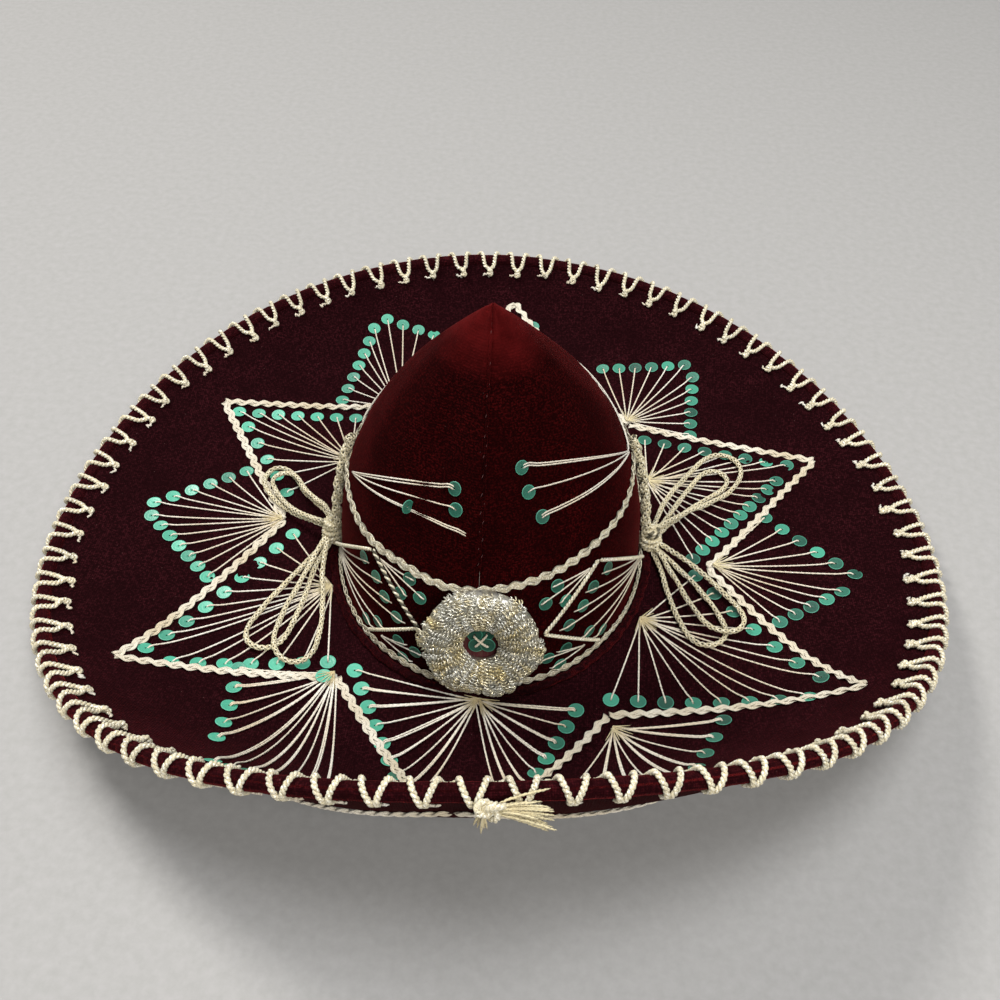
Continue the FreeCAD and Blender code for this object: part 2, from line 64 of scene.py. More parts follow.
lens_length, sensor_width = 42.73, 36.0      # millimetres
camera = bpy.data.objects.new("camera", bpy.data.cameras.new("camera"))
camera.data.lens = lens_length
camera.data.sensor_width = sensor_width
camera.data.clip_start = 0.01
camera.matrix_world = Matrix.Translation(camera_place) @ Matrix(
    (right, up, -looking)).transposed().to_4x4()
bpy.context.scene.collection.objects.link(camera)
bpy.context.scene.camera = camera
print("camera height above the table:", round(camera_place.z, 3))

# %% [markdown]
# ## The shape that everything is sewn to
# A sombrero's trimmings follow two surfaces: the brim, flat by the crown and curling up to
# its rim, and the tall crown.  Both are written as formulas in metres that work on whole
# arrays at once, so a thread of a hundred points is placed in one call.  Directions are
# measured from the middle of the head opening, and s runs from the crown's foot (0) to the
# middle of the rim roll (1).  Left and right are those of someone who looks at the hat's
# front, so left is -X.  The brim comes first: three cosines shape its outline and three its
# rim's height.

# %% Brim as a formula
MM = 0.001
crown_half_width, crown_half_depth = 0.0895, 0.1065
brim_stack = 0.0048                          # board and both velvets
flat_part = 0.15                             # share of the brim that stays flat
brim_turn = math.radians(6)                  # the curl's highest point, round from the front


def unit(v):
    return v / np.maximum(np.linalg.norm(v, axis=-1, keepdims=True), 1e-12)


def foot_radius(theta):
    return 1 / np.hypot(np.cos(theta) / crown_half_width, np.sin(theta) / crown_half_depth)


def from_curl(theta):
    return theta + math.pi / 2 - brim_turn


def rim_radius(theta):
    a = from_curl(theta)
    return (256.5 - 8 * np.cos(a) - 5 * np.cos(2 * a) - 3 * np.cos(3 * a)) * MM


def rim_height(theta):
    a = from_curl(theta)
    return (43 + 38 * np.cos(a) + 32 * np.cos(2 * a) + 6 * np.cos(3 * a)) * MM


def brim_face(theta, s):
    theta, s = np.broadcast_arrays(np.asarray(theta, float), np.asarray(s, float))
    foot = foot_radius(theta)
    r = foot + (rim_radius(theta) - foot) * s
    rise = np.maximum(0, (s - flat_part) / (1 - flat_part))
    z = brim_stack + rim_height(theta) * rise ** (3.1 - 0.3 * np.cos(from_curl(theta)))
    return np.stack([r * np.cos(theta), r * np.sin(theta), z], -1)


def brim_normal(theta, s, step=0.004):
    out = brim_face(theta, s + step) - brim_face(theta, s - step)
    around = brim_face(theta + step, s) - brim_face(theta - step, s)
    return unit(np.cross(out, around))


def brim_share(x, y):
    theta = np.arctan2(y, x)
    foot = foot_radius(theta)
    return theta, (np.hypot(x, y) - foot) / (rim_radius(theta) - foot)


def on_brim(x, y, lift=0.0):
    theta, s = brim_share(np.asarray(x, float), np.asarray(y, float))
    normal = brim_normal(theta, s)
    return brim_face(theta, s) + normal * np.asarray(lift, float)[..., None], normal


print("brim across:", round(float(rim_radius(0.0) + rim_radius(math.pi)), 3), "m")

# %% [markdown]
# ## The crown's shape
# The crown is blocked over a tall wooden form.  Its cross-section is an oval that swells a
# little and then narrows to a rounded point; the point leans forward, and two finger dents
# sit either side of the front seam.  A place on it is given by the direction round it and
# by t, its share of the height.

# %% Crown as a formula
crown_height = 0.195
crown_lean = 0.013                           # the tip stands this far forward
pinch_depth, pinch_angle, pinch_place = 0.007, 28.0, 0.62
pinch_spread, pinch_rise = 16.0, 0.2         # degrees, share of the height


def crown_face(theta, t, inset=0.0):
    theta, t = np.broadcast_arrays(np.asarray(theta, float), np.asarray(t, float))
    dome = np.maximum(0, 1 - np.clip(t, 0, 1) ** 4.6) ** 0.65
    narrow = (1 + 0.12 * t - 0.85 * t * t) * dome
    a = (crown_half_width - inset) * narrow
    b = (crown_half_depth - inset) * narrow * (1 - 0.25 * t)
    front = np.degrees((theta + 1.5 * math.pi) % (2 * math.pi) - math.pi)
    dent = sum(np.exp(-((front - side * pinch_angle) / pinch_spread) ** 2)
               for side in (-1, 1))
    dent = dent * pinch_depth * np.exp(-((t - pinch_place) / pinch_rise) ** 2)
    forward = crown_lean * np.clip(t, 0, 1.1) ** 1.8
    return np.stack([(a - dent) * np.cos(theta), (b - dent) * np.sin(theta) - forward,
                     (crown_height - inset) * t], -1)


def on_crown(front, z, lift=0.0):
    """front is degrees round from the front seam, towards +X."""
    front, z = np.broadcast_arrays(np.asarray(front, float), np.asarray(z, float))
    theta, t, step = np.radians(front - 90), z / crown_height, 0.01
    rising = crown_face(theta, t + step) - crown_face(theta, np.maximum(0, t - step))
    around = crown_face(theta + step, t) - crown_face(theta - step, t)
    normal = unit(np.cross(around, rising))
    return crown_face(theta, t) + normal * np.asarray(lift, float)[..., None], normal


print("crown across:", crown_half_width * 2, "m, height:", crown_height, "m")

# %% [markdown]
# ## Smooth lines
# Every thread, cord and braid follows a line, and a line is an array of points.  A few
# chosen points are joined by a smooth curve that passes through them and is cut into even
# steps.  A yarn also needs to know which way is up at each point: on cloth that is the
# cloth's normal, and in the air it is carried along the line without twisting.

# %% Line helpers
dice = np.random.default_rng(7)


def spaced(points, step, closed=False):
    """A smooth curve through points, cut into even steps."""
    p = np.asarray(points, float)
    ends = (p[-1:], p[:2]) if closed else (2 * p[:1] - p[1:2], 2 * p[-1:] - p[-2:-1])
    p = np.concatenate([ends[0], p, ends[1]])
    f = np.linspace(0, 1, 12, endpoint=False)[None, :, None]
    a, b, c, d = (p[i:len(p) - 3 + i, None, :] for i in range(4))
    fine = 0.5 * (2 * b + (c - a) * f + (2 * a - 5 * b + 4 * c - d) * f ** 2
                  + (3 * b - a - 3 * c + d) * f ** 3)
    fine = np.concatenate([fine.reshape(-1, p.shape[1]), p[-2:-1]])
    run = np.r_[0, np.cumsum(np.linalg.norm(np.diff(fine[:, :3], axis=0), axis=1))]
    at = np.linspace(0, run[-1], max(3, round(run[-1] / step) + 1))
    if closed:
        at = at[:-1]
    return np.stack([np.interp(at, run, fine[:, i]) for i in range(p.shape[1])], 1)


def lengths(path):
    return np.r_[0, np.cumsum(np.linalg.norm(np.diff(path, axis=0), axis=1))]


def headings(path, closed=False):
    if closed:
        return unit(np.roll(path, -1, 0) - np.roll(path, 1, 0))
    return unit(np.gradient(path, axis=0))


def carried(path, first_up):
    """An up direction for each point of a free curve, carried along without twisting."""
    ahead = headings(path)
    ups = [unit(np.cross(np.cross(ahead[0], first_up), ahead[0]))]
    for h in ahead[1:]:
        ups.append(unit(ups[-1] - h * (ups[-1] @ h)))
    return np.array(ups)


def beside(path, up, closed=False):
    return unit(np.cross(headings(path, closed), up))


print("a test line has", len(spaced([(0, 0, 0), (0, 0.01, 0), (0.01, 0.01, 0)], MM)), "points")

# %% [markdown]
# ## Yarns and sheets as meshes
# Nearly everything that shines on this hat is yarn: single threads, two plies twisted
# together, three strands plaited flat, six strands braided round.  All of them are tubes
# that follow a line, so one helper makes a tube with an oval section that can be given
# lobes and a twist, and a skein gathers many tubes into one mesh.  Each point also keeps
# its distance along the yarn, its place round it, and the yarn's own random number; the
# finishes use these to draw fibres and to vary the colour from yarn to yarn.

# %% Skein
lobe_depth = 0.32            # how deep the groove between two plies of one yarn is


class Skein:
    """Tubes and sheets gathered into one mesh, with a 'lay' value at each point."""

    def __init__(self):
        self.points, self.faces, self.lay, self.count = [], [], [], 0

    def add(self, points, faces, lay):
        self.points.append(points)
        self.lay.append(lay)
        self.faces += [f + self.count for f in faces]
        self.count += len(points)

    def tube(self, path, up, wide, high=None, sides=6, closed=False, lobes=0, twist=0.0,
             colour=None, taper=0.0):
        """twist is the length of one turn; taper is the length over which an end narrows."""
        n = len(path)
        high = wide if high is None else high
        ahead = headings(path, closed)
        side = unit(np.cross(ahead, np.broadcast_to(up, path.shape)))
        rise = np.cross(side, ahead)
        run = lengths(path)
        around = np.arange(sides) * 2 * math.pi / sides
        reach = 1 - lobe_depth * (1 - np.abs(np.cos(lobes * around / 2))) if lobes else 1.0
        turn = (run / twist * 2 * math.pi if twist else 0 * run)[:, None]
        shrink = np.ones(n)
        if taper and not closed:
            near = np.minimum(run, run[-1] - run) / taper
            shrink = np.sqrt(np.clip(near, 0.06, 1))
        across = (np.cos(around + turn) * reach * shrink[:, None])[..., None]
        upward = (np.sin(around + turn) * reach * shrink[:, None])[..., None]
        wide, high = (np.broadcast_to(v, (n,))[:, None, None] for v in (wide, high))
        rings = path[:, None] + side[:, None] * across * wide + rise[:, None] * upward * high
        i, j = np.meshgrid(np.arange(n if closed else n - 1), np.arange(sides), indexing="ij")
        k, m = (i + 1) % n, (j + 1) % sides
        quads = np.stack([i * sides + j, i * sides + m, k * sides + m, k * sides + j], -1)
        points, faces = rings.reshape(-1, 3), [quads.reshape(-1, 4)]
        lay = np.stack(np.broadcast_arrays(run[:, None], around[None] / (2 * math.pi),
                                           dice.random() if colour is None else colour), -1)
        lay = lay.reshape(-1, 3)
        if not closed:
            a = np.arange(sides)
            b = (a + 1) % sides
            last = (n - 1) * sides
            caps = [np.stack([0 * a + n * sides, b, a], -1),
                    np.stack([0 * a + n * sides + 1, last + a, last + b], -1)]
            points = np.concatenate([points, path[:1], path[-1:]])
            lay = np.concatenate([lay, lay[:1], lay[-1:]])
            faces += caps
        self.add(points, faces, lay)

    def sheet(self, grid, around=False, lay=None, closed=False):
        """A grid as a sheet; around joins its last column, and closed its last row, to the first."""
        rows, cols = grid.shape[:2]
        i, j = np.meshgrid(np.arange(rows if closed else rows - 1),
                           np.arange(cols if around else cols - 1), indexing="ij")
        k, m = (i + 1) % rows, (j + 1) % cols
        quads = np.stack([i * cols + j, i * cols + m, k * cols + m, k * cols + j], -1)
        lay = grid if lay is None else lay
        self.add(grid.reshape(-1, 3), [quads.reshape(-1, 4)], lay.reshape(-1, 3))

    def piece(self, name, finish, slot, *nodes, smooth=True):
        mesh = bpy.data.meshes.new(name)
        points = np.concatenate(self.points)
        corners = np.concatenate([f.ravel() for f in self.faces])
        sizes = np.concatenate([np.full(len(f), f.shape[1]) for f in self.faces])
        mesh.vertices.add(len(points))
        mesh.vertices.foreach_set("co", points.astype(np.float32).ravel())
        mesh.loops.add(len(corners))
        mesh.loops.foreach_set("vertex_index", corners.astype(np.int32))
        mesh.polygons.add(len(sizes))
        mesh.polygons.foreach_set("loop_start", np.r_[0, np.cumsum(sizes)[:-1]].astype(np.int32))
        mesh.polygons.foreach_set("use_smooth", np.full(len(sizes), smooth))
        mesh.update(calc_edges=True)
        lay = mesh.attributes.new("lay", "FLOAT_VECTOR", "POINT")
        lay.data.foreach_set("vector", np.concatenate(self.lay).astype(np.float32).ravel())
        mesh.materials.append(finish)
        made = bpy.data.objects.new(name, mesh)
        bpy.context.scene.collection.objects.link(made)
        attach(made, "root")
        if nodes:
            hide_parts(*nodes)
        print(f"{name}: {len(points)} points, {len(sizes)} faces")
        return made


# %% [markdown]
# ## A flat plait
# Flat braid is three strands that take turns to cross the middle.  Seen from above, each
# strand is a sine wave, a third of a turn behind the last; its height is a wave of twice
# that rate, so it goes over one neighbour and under the other.  A closed plait gets a whole
# number of turns, so that its ends meet.

# %% Plait
def plait(skein, path, up, width, period, thick, yarns=3, closed=False, step=0.0009,
          colour=None, phase=0.0, sides=6, sway=0.0):
    """Three flat strands plaited over and under, each of a few yarns side by side."""
    line = spaced(np.concatenate([path, up], 1), step, closed)
    path, up = line[:, :3], unit(line[:, 3:])
    side, run = beside(path, up, closed), lengths(path)
    if closed:
        total = run[-1] + step
        period = total / round(total / period)
    yarn = width / (2.0 + 2.2 * yarns)
    swing = width / 2 - yarn * yarns * 0.55
    for strand in range(3):
        a = 2 * math.pi * (run / period + strand / 3) + phase
        across = swing * np.sin(a) - sway * np.sin(3 * a)
        height = thick * 0.5 + (thick * 0.5 - yarn * 0.5) * np.sin(2 * a)
        for k in range(yarns):
            shift = (k - (yarns - 1) / 2) * yarn * 1.15
            line = path + side * (across + shift)[:, None] + up * height[:, None]
            skein.tube(line, up, yarn * 0.78, yarn * 0.72, sides, closed,
                       colour=colour, taper=0.002)


print("plait helper ready")

# %% [markdown]
# ## Yarn finishes
# Old cotton braid has yellowed unevenly and its fibres run along the yarn; lame thread is
# thin foil wound on cotton, so it flashes between bright metal and cream core.  A small
# class keeps the node code short: it opens a material, sets the plain numbers straight on
# the shader's sockets, and adds nodes one by one.  Fibre marks are drawn in the 'lay'
# coordinates, stretched along the yarn, and they drive both colour and bump.

# %% Finish helper
class Finish:
    def __init__(self, name, **numbers):
        self.material = bpy.data.materials.new(name)
        self.material.use_nodes = True
        self.tree = self.material.node_tree
        self.shader = self.tree.nodes["Principled BSDF"]
        for socket, value in numbers.items():
            self.shader.inputs[socket.replace("_", " ")].default_value = value

    def add(self, kind, inputs=(), **settings):
        node = self.tree.nodes.new("ShaderNode" + kind)
        for key, value in settings.items():
            setattr(node, key, value)
        for socket, value in dict(inputs).items():
            if isinstance(value, bpy.types.NodeSocket):
                self.tree.links.new(value, node.inputs[socket])
            else:
                node.inputs[socket].default_value = value
        return node

    def wire(self, socket, value):
        self.tree.links.new(value, self.shader.inputs[socket])

    def math(self, operation, a, b=0.0, clamp=False):
        return self.add("Math", {0: a, 1: b}, operation=operation, use_clamp=clamp).outputs[0]

    def where(self):
        """Place on the hat, in metres."""
        return self.add("TexCoord").outputs["Object"]

    def lay(self, scale=(1, 1, 1)):
        """Place along and round a yarn, or across a cloth, stretched by scale."""
        lay = self.add("Attribute", attribute_name="lay").outputs["Vector"]
        return self.add("Mapping", {"Vector": lay, "Scale": scale}).outputs[0]

    def noise(self, vector, scale, detail=2.0, rough=0.5):
        return self.add("TexNoise", {"Vector": vector, "Scale": scale, "Detail": detail,
                                     "Roughness": rough}).outputs["Fac"]

    def ramp(self, value, low, high):
        return self.add("MapRange", {"Value": value, "From Min": low, "From Max": high}).outputs[0]

    def mix(self, share, one, two):
        node = self.add("Mix", data_type="RGBA")
        for socket, value in ((0, share), (6, one), (7, two)):
            if isinstance(value, bpy.types.NodeSocket):
                self.tree.links.new(value, node.inputs[socket])
            else:
                node.inputs[socket].default_value = (*value, 1) if socket > 0 else value
        return node.outputs[2]

    def bump(self, height, distance, strength=1.0):
        bump = self.add("Bump", {"Height": height, "Distance": distance, "Strength": strength})
        self.wire("Normal", bump.outputs[0])


print("finish helper ready")

# %% [markdown]
# ## Cotton and lame
# Cotton yarn is matt and cream, and stained by age in soft patches; a painted shade darkens
# it between its fibres.  Lame is such a yarn with thin foil wound on it.  Where noise says that
# the foil still shows, the shader turns metallic and smoother; elsewhere the tired core is
# seen, with painted shade between the turns of foil.

# %% Cotton, lame and thread
def cotton_finish(name, pale, aged, stain_size=0.03, fuzz=0.25):
    f = Finish(name, Roughness=0.78, Sheen_Weight=fuzz, Sheen_Roughness=0.5,
               Specular_IOR_Level=0.25)
    fibres = f.noise(f.lay((900, 9, 60)), 1.0, 3, 0.65)
    age = f.noise(f.where(), 1 / stain_size, 3)
    base = f.mix(f.ramp(age, 0.35, 0.7), pale, aged)
    # painted shade between the fibres: where the fibre noise is low the yarn turns dark brown
    painted_groove_shade = f.mix(0.55, aged, (0.12, 0.085, 0.05))
    f.wire("Base Color", f.mix(f.ramp(fibres, 0.50, 0.28), base, painted_groove_shade))
    f.bump(fibres, 0.00025)
    return f.material


def lame_finish(name, metal, core, shine=0.5, flash_size=900.0):
    f = Finish(name, Specular_IOR_Level=0.5)
    own = f.add("SeparateXYZ", {0: f.lay()}).outputs[2]
    turns = f.noise(f.lay((1800, 7, 90)), 1.0, 2, 0.6)
    flash = f.noise(f.where(), flash_size, 2, 0.7)
    foil = f.ramp(f.math("ADD", turns, flash), 1.04 - 0.1 * shine, 1.12 - 0.1 * shine)
    age = f.noise(f.where(), 55, 3)
    aged_and_groove_shaded_core = f.mix(f.ramp(age, 0.4, 0.7), core, tuple(c * 0.72 for c in core))
    # painted shade between the turns of foil: where the turn noise is low the core darkens
    aged_and_groove_shaded_core = f.mix(f.ramp(turns, 0.42, 0.25), aged_and_groove_shaded_core, tuple(c * 0.30 for c in core))
    colour = f.mix(foil, aged_and_groove_shaded_core, metal)
    # yarns whose own number is below about 0.1, such as the round braid's core, are coloured almost
    # black: painted shade in the gaps between the strands
    f.wire("Base Color", f.mix(f.ramp(own, 0.12, 0.04), colour, tuple(c * 0.12 for c in core)))
    f.wire("Metallic", f.math("MULTIPLY", foil, 0.7))
    f.wire("Roughness", f.ramp(foil, 1.9, 0.25))
    f.bump(turns, 0.0003)
    return f.material


braid_cotton = cotton_finish("braid cotton", (0.78, 0.73, 0.61), (0.60, 0.51, 0.35))
fan_thread = cotton_finish("fan thread", (0.88, 0.84, 0.74), (0.72, 0.60, 0.42), 0.05, 0.15)
band_lame = lame_finish("band lame", (0.92, 0.88, 0.74), (0.62, 0.54, 0.36))
lacing_lame = lame_finish("lacing lame", (0.95, 0.92, 0.80), (0.70, 0.62, 0.42), 0.2)
bow_lame = lame_finish("bow lame", (0.93, 0.89, 0.74), (0.68, 0.59, 0.37), 0.1)
tuft_cotton = cotton_finish("tuft cotton", (0.74, 0.65, 0.40), (0.58, 0.46, 0.24))
print("yarn finishes:", len(bpy.data.materials))

# %% [markdown]
# ## The bows' cords
# On each side of the crown a bow is tied: four loops of round braided cord that come out of
# a knot, lie loosely over the brim and go back into the knot.  A loop is one smooth curve:
# the route below is its control points (along X, along Y, height over the velvet, metres)
# and a NURBS spline of order three runs through them, cutting the corners a little as a
# limp cord does.  The braid is six strands over a core coloured almost black, as painted
# shade in the gaps between the strands; three strands turn each way, and where two strands
# meet, one dips under the other.

# %% Routes of the loops
bow_knots = {"left": (-0.096, -0.008), "right": (0.097, 0.002)}
bow_routes = {
    "left_upper_under": [
        (-0.097, -0.005, 0.017), (-0.104, 0.009, 0.014), (-0.114, 0.020, 0.009),
        (-0.124, 0.034, 0.005), (-0.133, 0.050, 0.004), (-0.145, 0.053, 0.004),
        (-0.151, 0.041, 0.004), (-0.144, 0.028, 0.004), (-0.131, 0.015, 0.005),
        (-0.116, 0.004, 0.009), (-0.099, -0.006, 0.014)],
    "left_upper_over": [
        (-0.097, -0.005, 0.021), (-0.102, 0.007, 0.0185), (-0.111, 0.016, 0.0145),
        (-0.120, 0.027, 0.011), (-0.128, 0.041, 0.009), (-0.137, 0.045, 0.008),
        (-0.144, 0.037, 0.008), (-0.138, 0.025, 0.0085), (-0.127, 0.012, 0.0095),
        (-0.114, 0.002, 0.013), (-0.098, -0.007, 0.018)],
    "left_lower_outer": [
        (-0.099, -0.011, 0.006), (-0.107, -0.023, 0.005), (-0.115, -0.038, 0.004),
        (-0.127, -0.060, 0.004), (-0.136, -0.085, 0.004), (-0.127, -0.095, 0.004),
        (-0.113, -0.092, 0.004), (-0.108, -0.071, 0.004), (-0.105, -0.049, 0.004),
        (-0.104, -0.030, 0.005), (-0.098, -0.013, 0.006)],
    "left_lower_inner": [
        (-0.099, -0.010, 0.012), (-0.104, -0.026, 0.010), (-0.109, -0.046, 0.008),
        (-0.116, -0.071, 0.007), (-0.117, -0.096, 0.008), (-0.105, -0.104, 0.004),
        (-0.093, -0.097, 0.004), (-0.092, -0.074, 0.004), (-0.095, -0.052, 0.005),
        (-0.099, -0.032, 0.009), (-0.098, -0.011, 0.012)],
    "right_upper_outer": [
        (0.098, 0.004, 0.020), (0.102, 0.020, 0.018), (0.110, 0.042, 0.012),
        (0.122, 0.064, 0.007), (0.137, 0.088, 0.004), (0.152, 0.089, 0.004),
        (0.160, 0.076, 0.004), (0.153, 0.057, 0.004), (0.137, 0.042, 0.006),
        (0.119, 0.027, 0.011), (0.100, 0.006, 0.018)],
    "right_upper_inner": [
        (0.099, 0.004, 0.014), (0.107, 0.020, 0.011), (0.117, 0.042, 0.007),
        (0.127, 0.061, 0.0045), (0.133, 0.071, 0.004), (0.142, 0.074, 0.004),
        (0.149, 0.068, 0.004), (0.148, 0.059, 0.004), (0.136, 0.048, 0.004),
        (0.120, 0.032, 0.007), (0.101, 0.005, 0.013)],
    "right_lower_outer": [
        (0.098, -0.001, 0.006), (0.103, -0.012, 0.005), (0.106, -0.028, 0.004),
        (0.111, -0.048, 0.004), (0.120, -0.070, 0.004), (0.134, -0.072, 0.004),
        (0.142, -0.061, 0.004), (0.133, -0.040, 0.004), (0.120, -0.021, 0.005),
        (0.101, -0.001, 0.007)],
    "right_lower_inner": [
        (0.101, 0.000, 0.012), (0.111, -0.006, 0.010), (0.124, -0.015, 0.008),
        (0.140, -0.031, 0.005), (0.153, -0.050, 0.005), (0.147, -0.064, 0.008),
        (0.132, -0.064, 0.008), (0.120, -0.046, 0.008), (0.111, -0.025, 0.009),
        (0.099, -0.002, 0.011)],
}
rope_diameter = 0.0030
print("loops:", len(bow_routes))

# %% [markdown]
# ## From a route to a rope
# Blender works out the spline, and its points are read back from the mesh that Blender
# makes of it, so that the strands follow exactly that line.  The braid is then wound on the
# line: each strand is a helix whose distance from the core rises and falls as it goes over
# and under the strands of the other hand.

# %% Smooth line and round braid
def smooth_line(name, places):
    """Points of a NURBS spline whose control points are the route, in the hat's frame."""
    control = np.array([on_brim(x, y, lift)[0] for x, y, lift in places])
    curve = bpy.data.curves.new(name, "CURVE")
    curve.dimensions = "3D"
    curve.resolution_u = 24
    spline = curve.splines.new("NURBS")
    spline.points.add(len(control) - 1)
    spline.points.foreach_set("co", np.c_[control, np.ones(len(control))].ravel())
    spline.order_u = 3
    spline.use_endpoint_u = True
    holder = bpy.data.objects.new(name, curve)
    bpy.context.scene.collection.objects.link(holder)
    bpy.context.view_layer.update()
    line = bpy.data.meshes.new_from_object(holder)
    points = np.zeros(len(line.vertices) * 3)
    line.vertices.foreach_get("co", points)
    bpy.data.objects.remove(holder)
    return points.reshape(-1, 3)


def round_braid(skein, line, radius, strands=6, turn=0.0105, step=0.00045):
    """Strands wound both ways round a core; each pair that meets goes over and under."""
    path = spaced(line, step)
    up = carried(path, np.array([0.0, 0.0, 1.0]))
    side, run = beside(path, up), lengths(path)
    # the core gets own number 0, which the lame finish colours almost black as painted shade between
    # the strands
    skein.tube(path, up, radius * 0.62, sides=6, colour=0.0)
    half = strands // 2
    for hand in (-1, 1):
        for k in range(half):
            a = hand * (run / turn + k / half) * 2 * math.pi
            weave = np.cos((run / turn + k / half) * 2 * math.pi * half / 2 + hand * 0.8)
            out = radius * (0.74 + 0.16 * hand * np.sign(weave) * np.sqrt(np.abs(weave)))
            centre = (path + side * (np.cos(a) * out)[:, None] + up * (np.sin(a) * out)[:, None])
            skein.tube(centre, unit(centre - path), radius * 0.37, radius * 0.22, 6,
                       colour=0.2 + 0.8 * dice.random(), taper=0.001)


print("round braid helper ready")


# %% The eight loops
for name, places in bow_routes.items():
    line = smooth_line(name, places)
    rope = Skein()
    round_braid(rope, line, rope_diameter / 2)
    piece = rope.piece("bow_cord_" + name, bow_lame, "rope", "bow_loop_" + name)
    long = lengths(line)[-1]
    print(name, "is", round(long * 1000), "mm long")

# %% [markdown]
# ## Velvet
# Velvet is a dark cloth with a short upright pile.  Looked at straight down its pile it is
# nearly black; where the cloth turns away, the tips of the pile catch the light, and the
# edge glows a brighter red.  A sheen layer does this, and a facing weight paints the same
# sheen into the base colour as well.  On the crown, painted light also brightens the top,
# where light falls on the pile.  Worn velvet lets its ground weave show as a faint diagonal
# grid, its nap is brushed unevenly in patches, and pale lint sits on it.

# %% Velvet finish
def velvet_finish(name, deep, lit, glow=0.12, grid=0.8, sheen_paint_share=0.4, lint=1.0, grain=620.0,
                  tip=None):
    f = Finish(name, Roughness=0.95, Sheen_Weight=glow, Sheen_Roughness=0.25,
               Sheen_Tint=(0.80, 0.06, 0.06, 1), Specular_IOR_Level=0.03)
    cloth = f.lay((1, 1, 0))
    place = f.add("SeparateXYZ", {0: cloth})
    thread_pitch = 2 * math.pi / 0.0024
    slant = f.math("ADD", place.outputs[0], place.outputs[1])
    cross = f.math("SUBTRACT", place.outputs[0], place.outputs[1])
    warp = f.math("SINE", f.math("MULTIPLY", slant, thread_pitch))
    weft = f.math("SINE", f.math("MULTIPLY", cross, thread_pitch))
    ground = f.math("MULTIPLY", f.math("MULTIPLY", warp, weft), grid)
    pile = f.noise(f.where(), grain, 2, 0.7)
    nap = f.noise(f.where(), 42, 4, 0.6)
    crush = f.noise(cloth, 9, 3, 0.55)
    # painted sheen: a facing weight, shaped by the nap patches, mixes the lit colour into the base
    # colour where the cloth turns away
    edge = f.math("POWER", f.add("LayerWeight", {"Blend": 0.42}).outputs["Facing"], 3.0)
    stroke = f.math("ADD", f.ramp(nap, 0.3, 0.75), f.ramp(crush, 0.35, 0.7))
    painted_sheen = f.math("MULTIPLY", f.math("MULTIPLY", edge, stroke), sheen_paint_share, True)
    # painted light on the crown's top: between the heights in tip the colour is brightened where
    # light falls on the pile
    if tip:
        up = f.add("SeparateXYZ", {0: f.where()}).outputs[2]
        painted_tip_light = f.math("MULTIPLY", f.ramp(up, *tip), f.ramp(nap, 0.2, 0.6))
        painted_sheen = f.math("ADD", painted_sheen, painted_tip_light, True)
    worn = f.math("MULTIPLY", f.ramp(pile, 0.46, 0.64), f.math("ADD", ground, 0.8))
    worn = f.math("MULTIPLY", worn, f.ramp(nap, 0.15, 0.75), True)
    dusty = tuple(0.55 * a + 0.45 * b for a, b in zip(deep, lit))
    colour = f.mix(painted_sheen, f.mix(worn, deep, dusty), lit)
    specks = f.add("TexVoronoi", {"Vector": f.where(), "Scale": 420.0, "Randomness": 1.0})
    rare = f.add("SeparateXYZ", {0: specks.outputs["Color"]}).outputs[0]
    speck = f.math("MULTIPLY", f.ramp(specks.outputs["Distance"], 0.16, 0.08),
                   f.math("GREATER_THAN", rare, 0.965))
    colour = f.mix(f.math("MULTIPLY", speck, 0.4 * lint), colour, (0.16, 0.08, 0.075))
    f.wire("Base Color", colour)
    f.bump(f.math("ADD", f.math("MULTIPLY", ground, 0.35), f.math("ADD", pile, nap)), 0.0004)
    return f.material


brim_velvet = velvet_finish("brim velvet", (0.0080, 0.0010, 0.0016), (0.075, 0.012, 0.017))
# the brim's underside: a darker copy of the brim velvet, as painted shade under the brim
under_velvet = velvet_finish("brim velvet below in painted shade", (0.0060, 0.0007, 0.0010),
                             (0.035, 0.005, 0.006), glow=0.03, sheen_paint_share=0.1)
# tip: the heights over which painted light brightens the top of the crown
crown_velvet = velvet_finish("crown velvet", (0.0080, 0.0001, 0.0002), (0.120, 0.0065, 0.0065),
                             glow=0.07, grid=0.5, sheen_paint_share=0.30, lint=0.4, grain=850.0,
                             tip=(0.164, 0.190))
# the rim roll: a lighter copy of the brim velvet, as painted sheen on the curled rim
sheen_lit_roll_velvet = velvet_finish("roll velvet", (0.013, 0.0014, 0.0022), (0.10, 0.012, 0.016),
                            glow=0.2)
print("velvet finishes made")

# %% [markdown]
# ## The brim's velvet, above and below
# Velvet is steamed over the board and pulled to the rim, so it is almost smooth, with
# shallow waves, and it puckers towards the holes where the rim cord goes through.  Both
# faces are fine grids over the brim formula, and each one's edge turns under so that it is
# a closed cloth.

# %% Velvet on the board
lacing_count = 76
roll_radius = 0.004
velvet_thick = 0.0009
lacing_inset = 0.013


def rim_speed(theta):
    """Metres of brim that one unit of s covers, close to the rim."""
    return np.linalg.norm(brim_face(theta, 1.0) - brim_face(theta, 0.99), axis=-1) * 100


def gentle_waves(theta, s):
    long = np.sin(5 * theta + 9 * s) + np.sin(8 * theta - 5 * s + 1.3) + np.sin(13 * theta + 2)
    return 0.00022 * long * np.clip(s * (1 - s) * 5, 0, 1)


def pucker(theta, s):
    """Small pits at the inner ends of the rim stitches."""
    off = (theta / (2 * math.pi) * lacing_count + 0.5) % 1 - 0.5
    along = off * 2 * math.pi / lacing_count * rim_radius(theta)
    inward = (1 - s) * rim_speed(theta) - lacing_inset
    return -0.0007 * np.exp(-(along / 0.0026) ** 2 - (inward / 0.0024) ** 2)


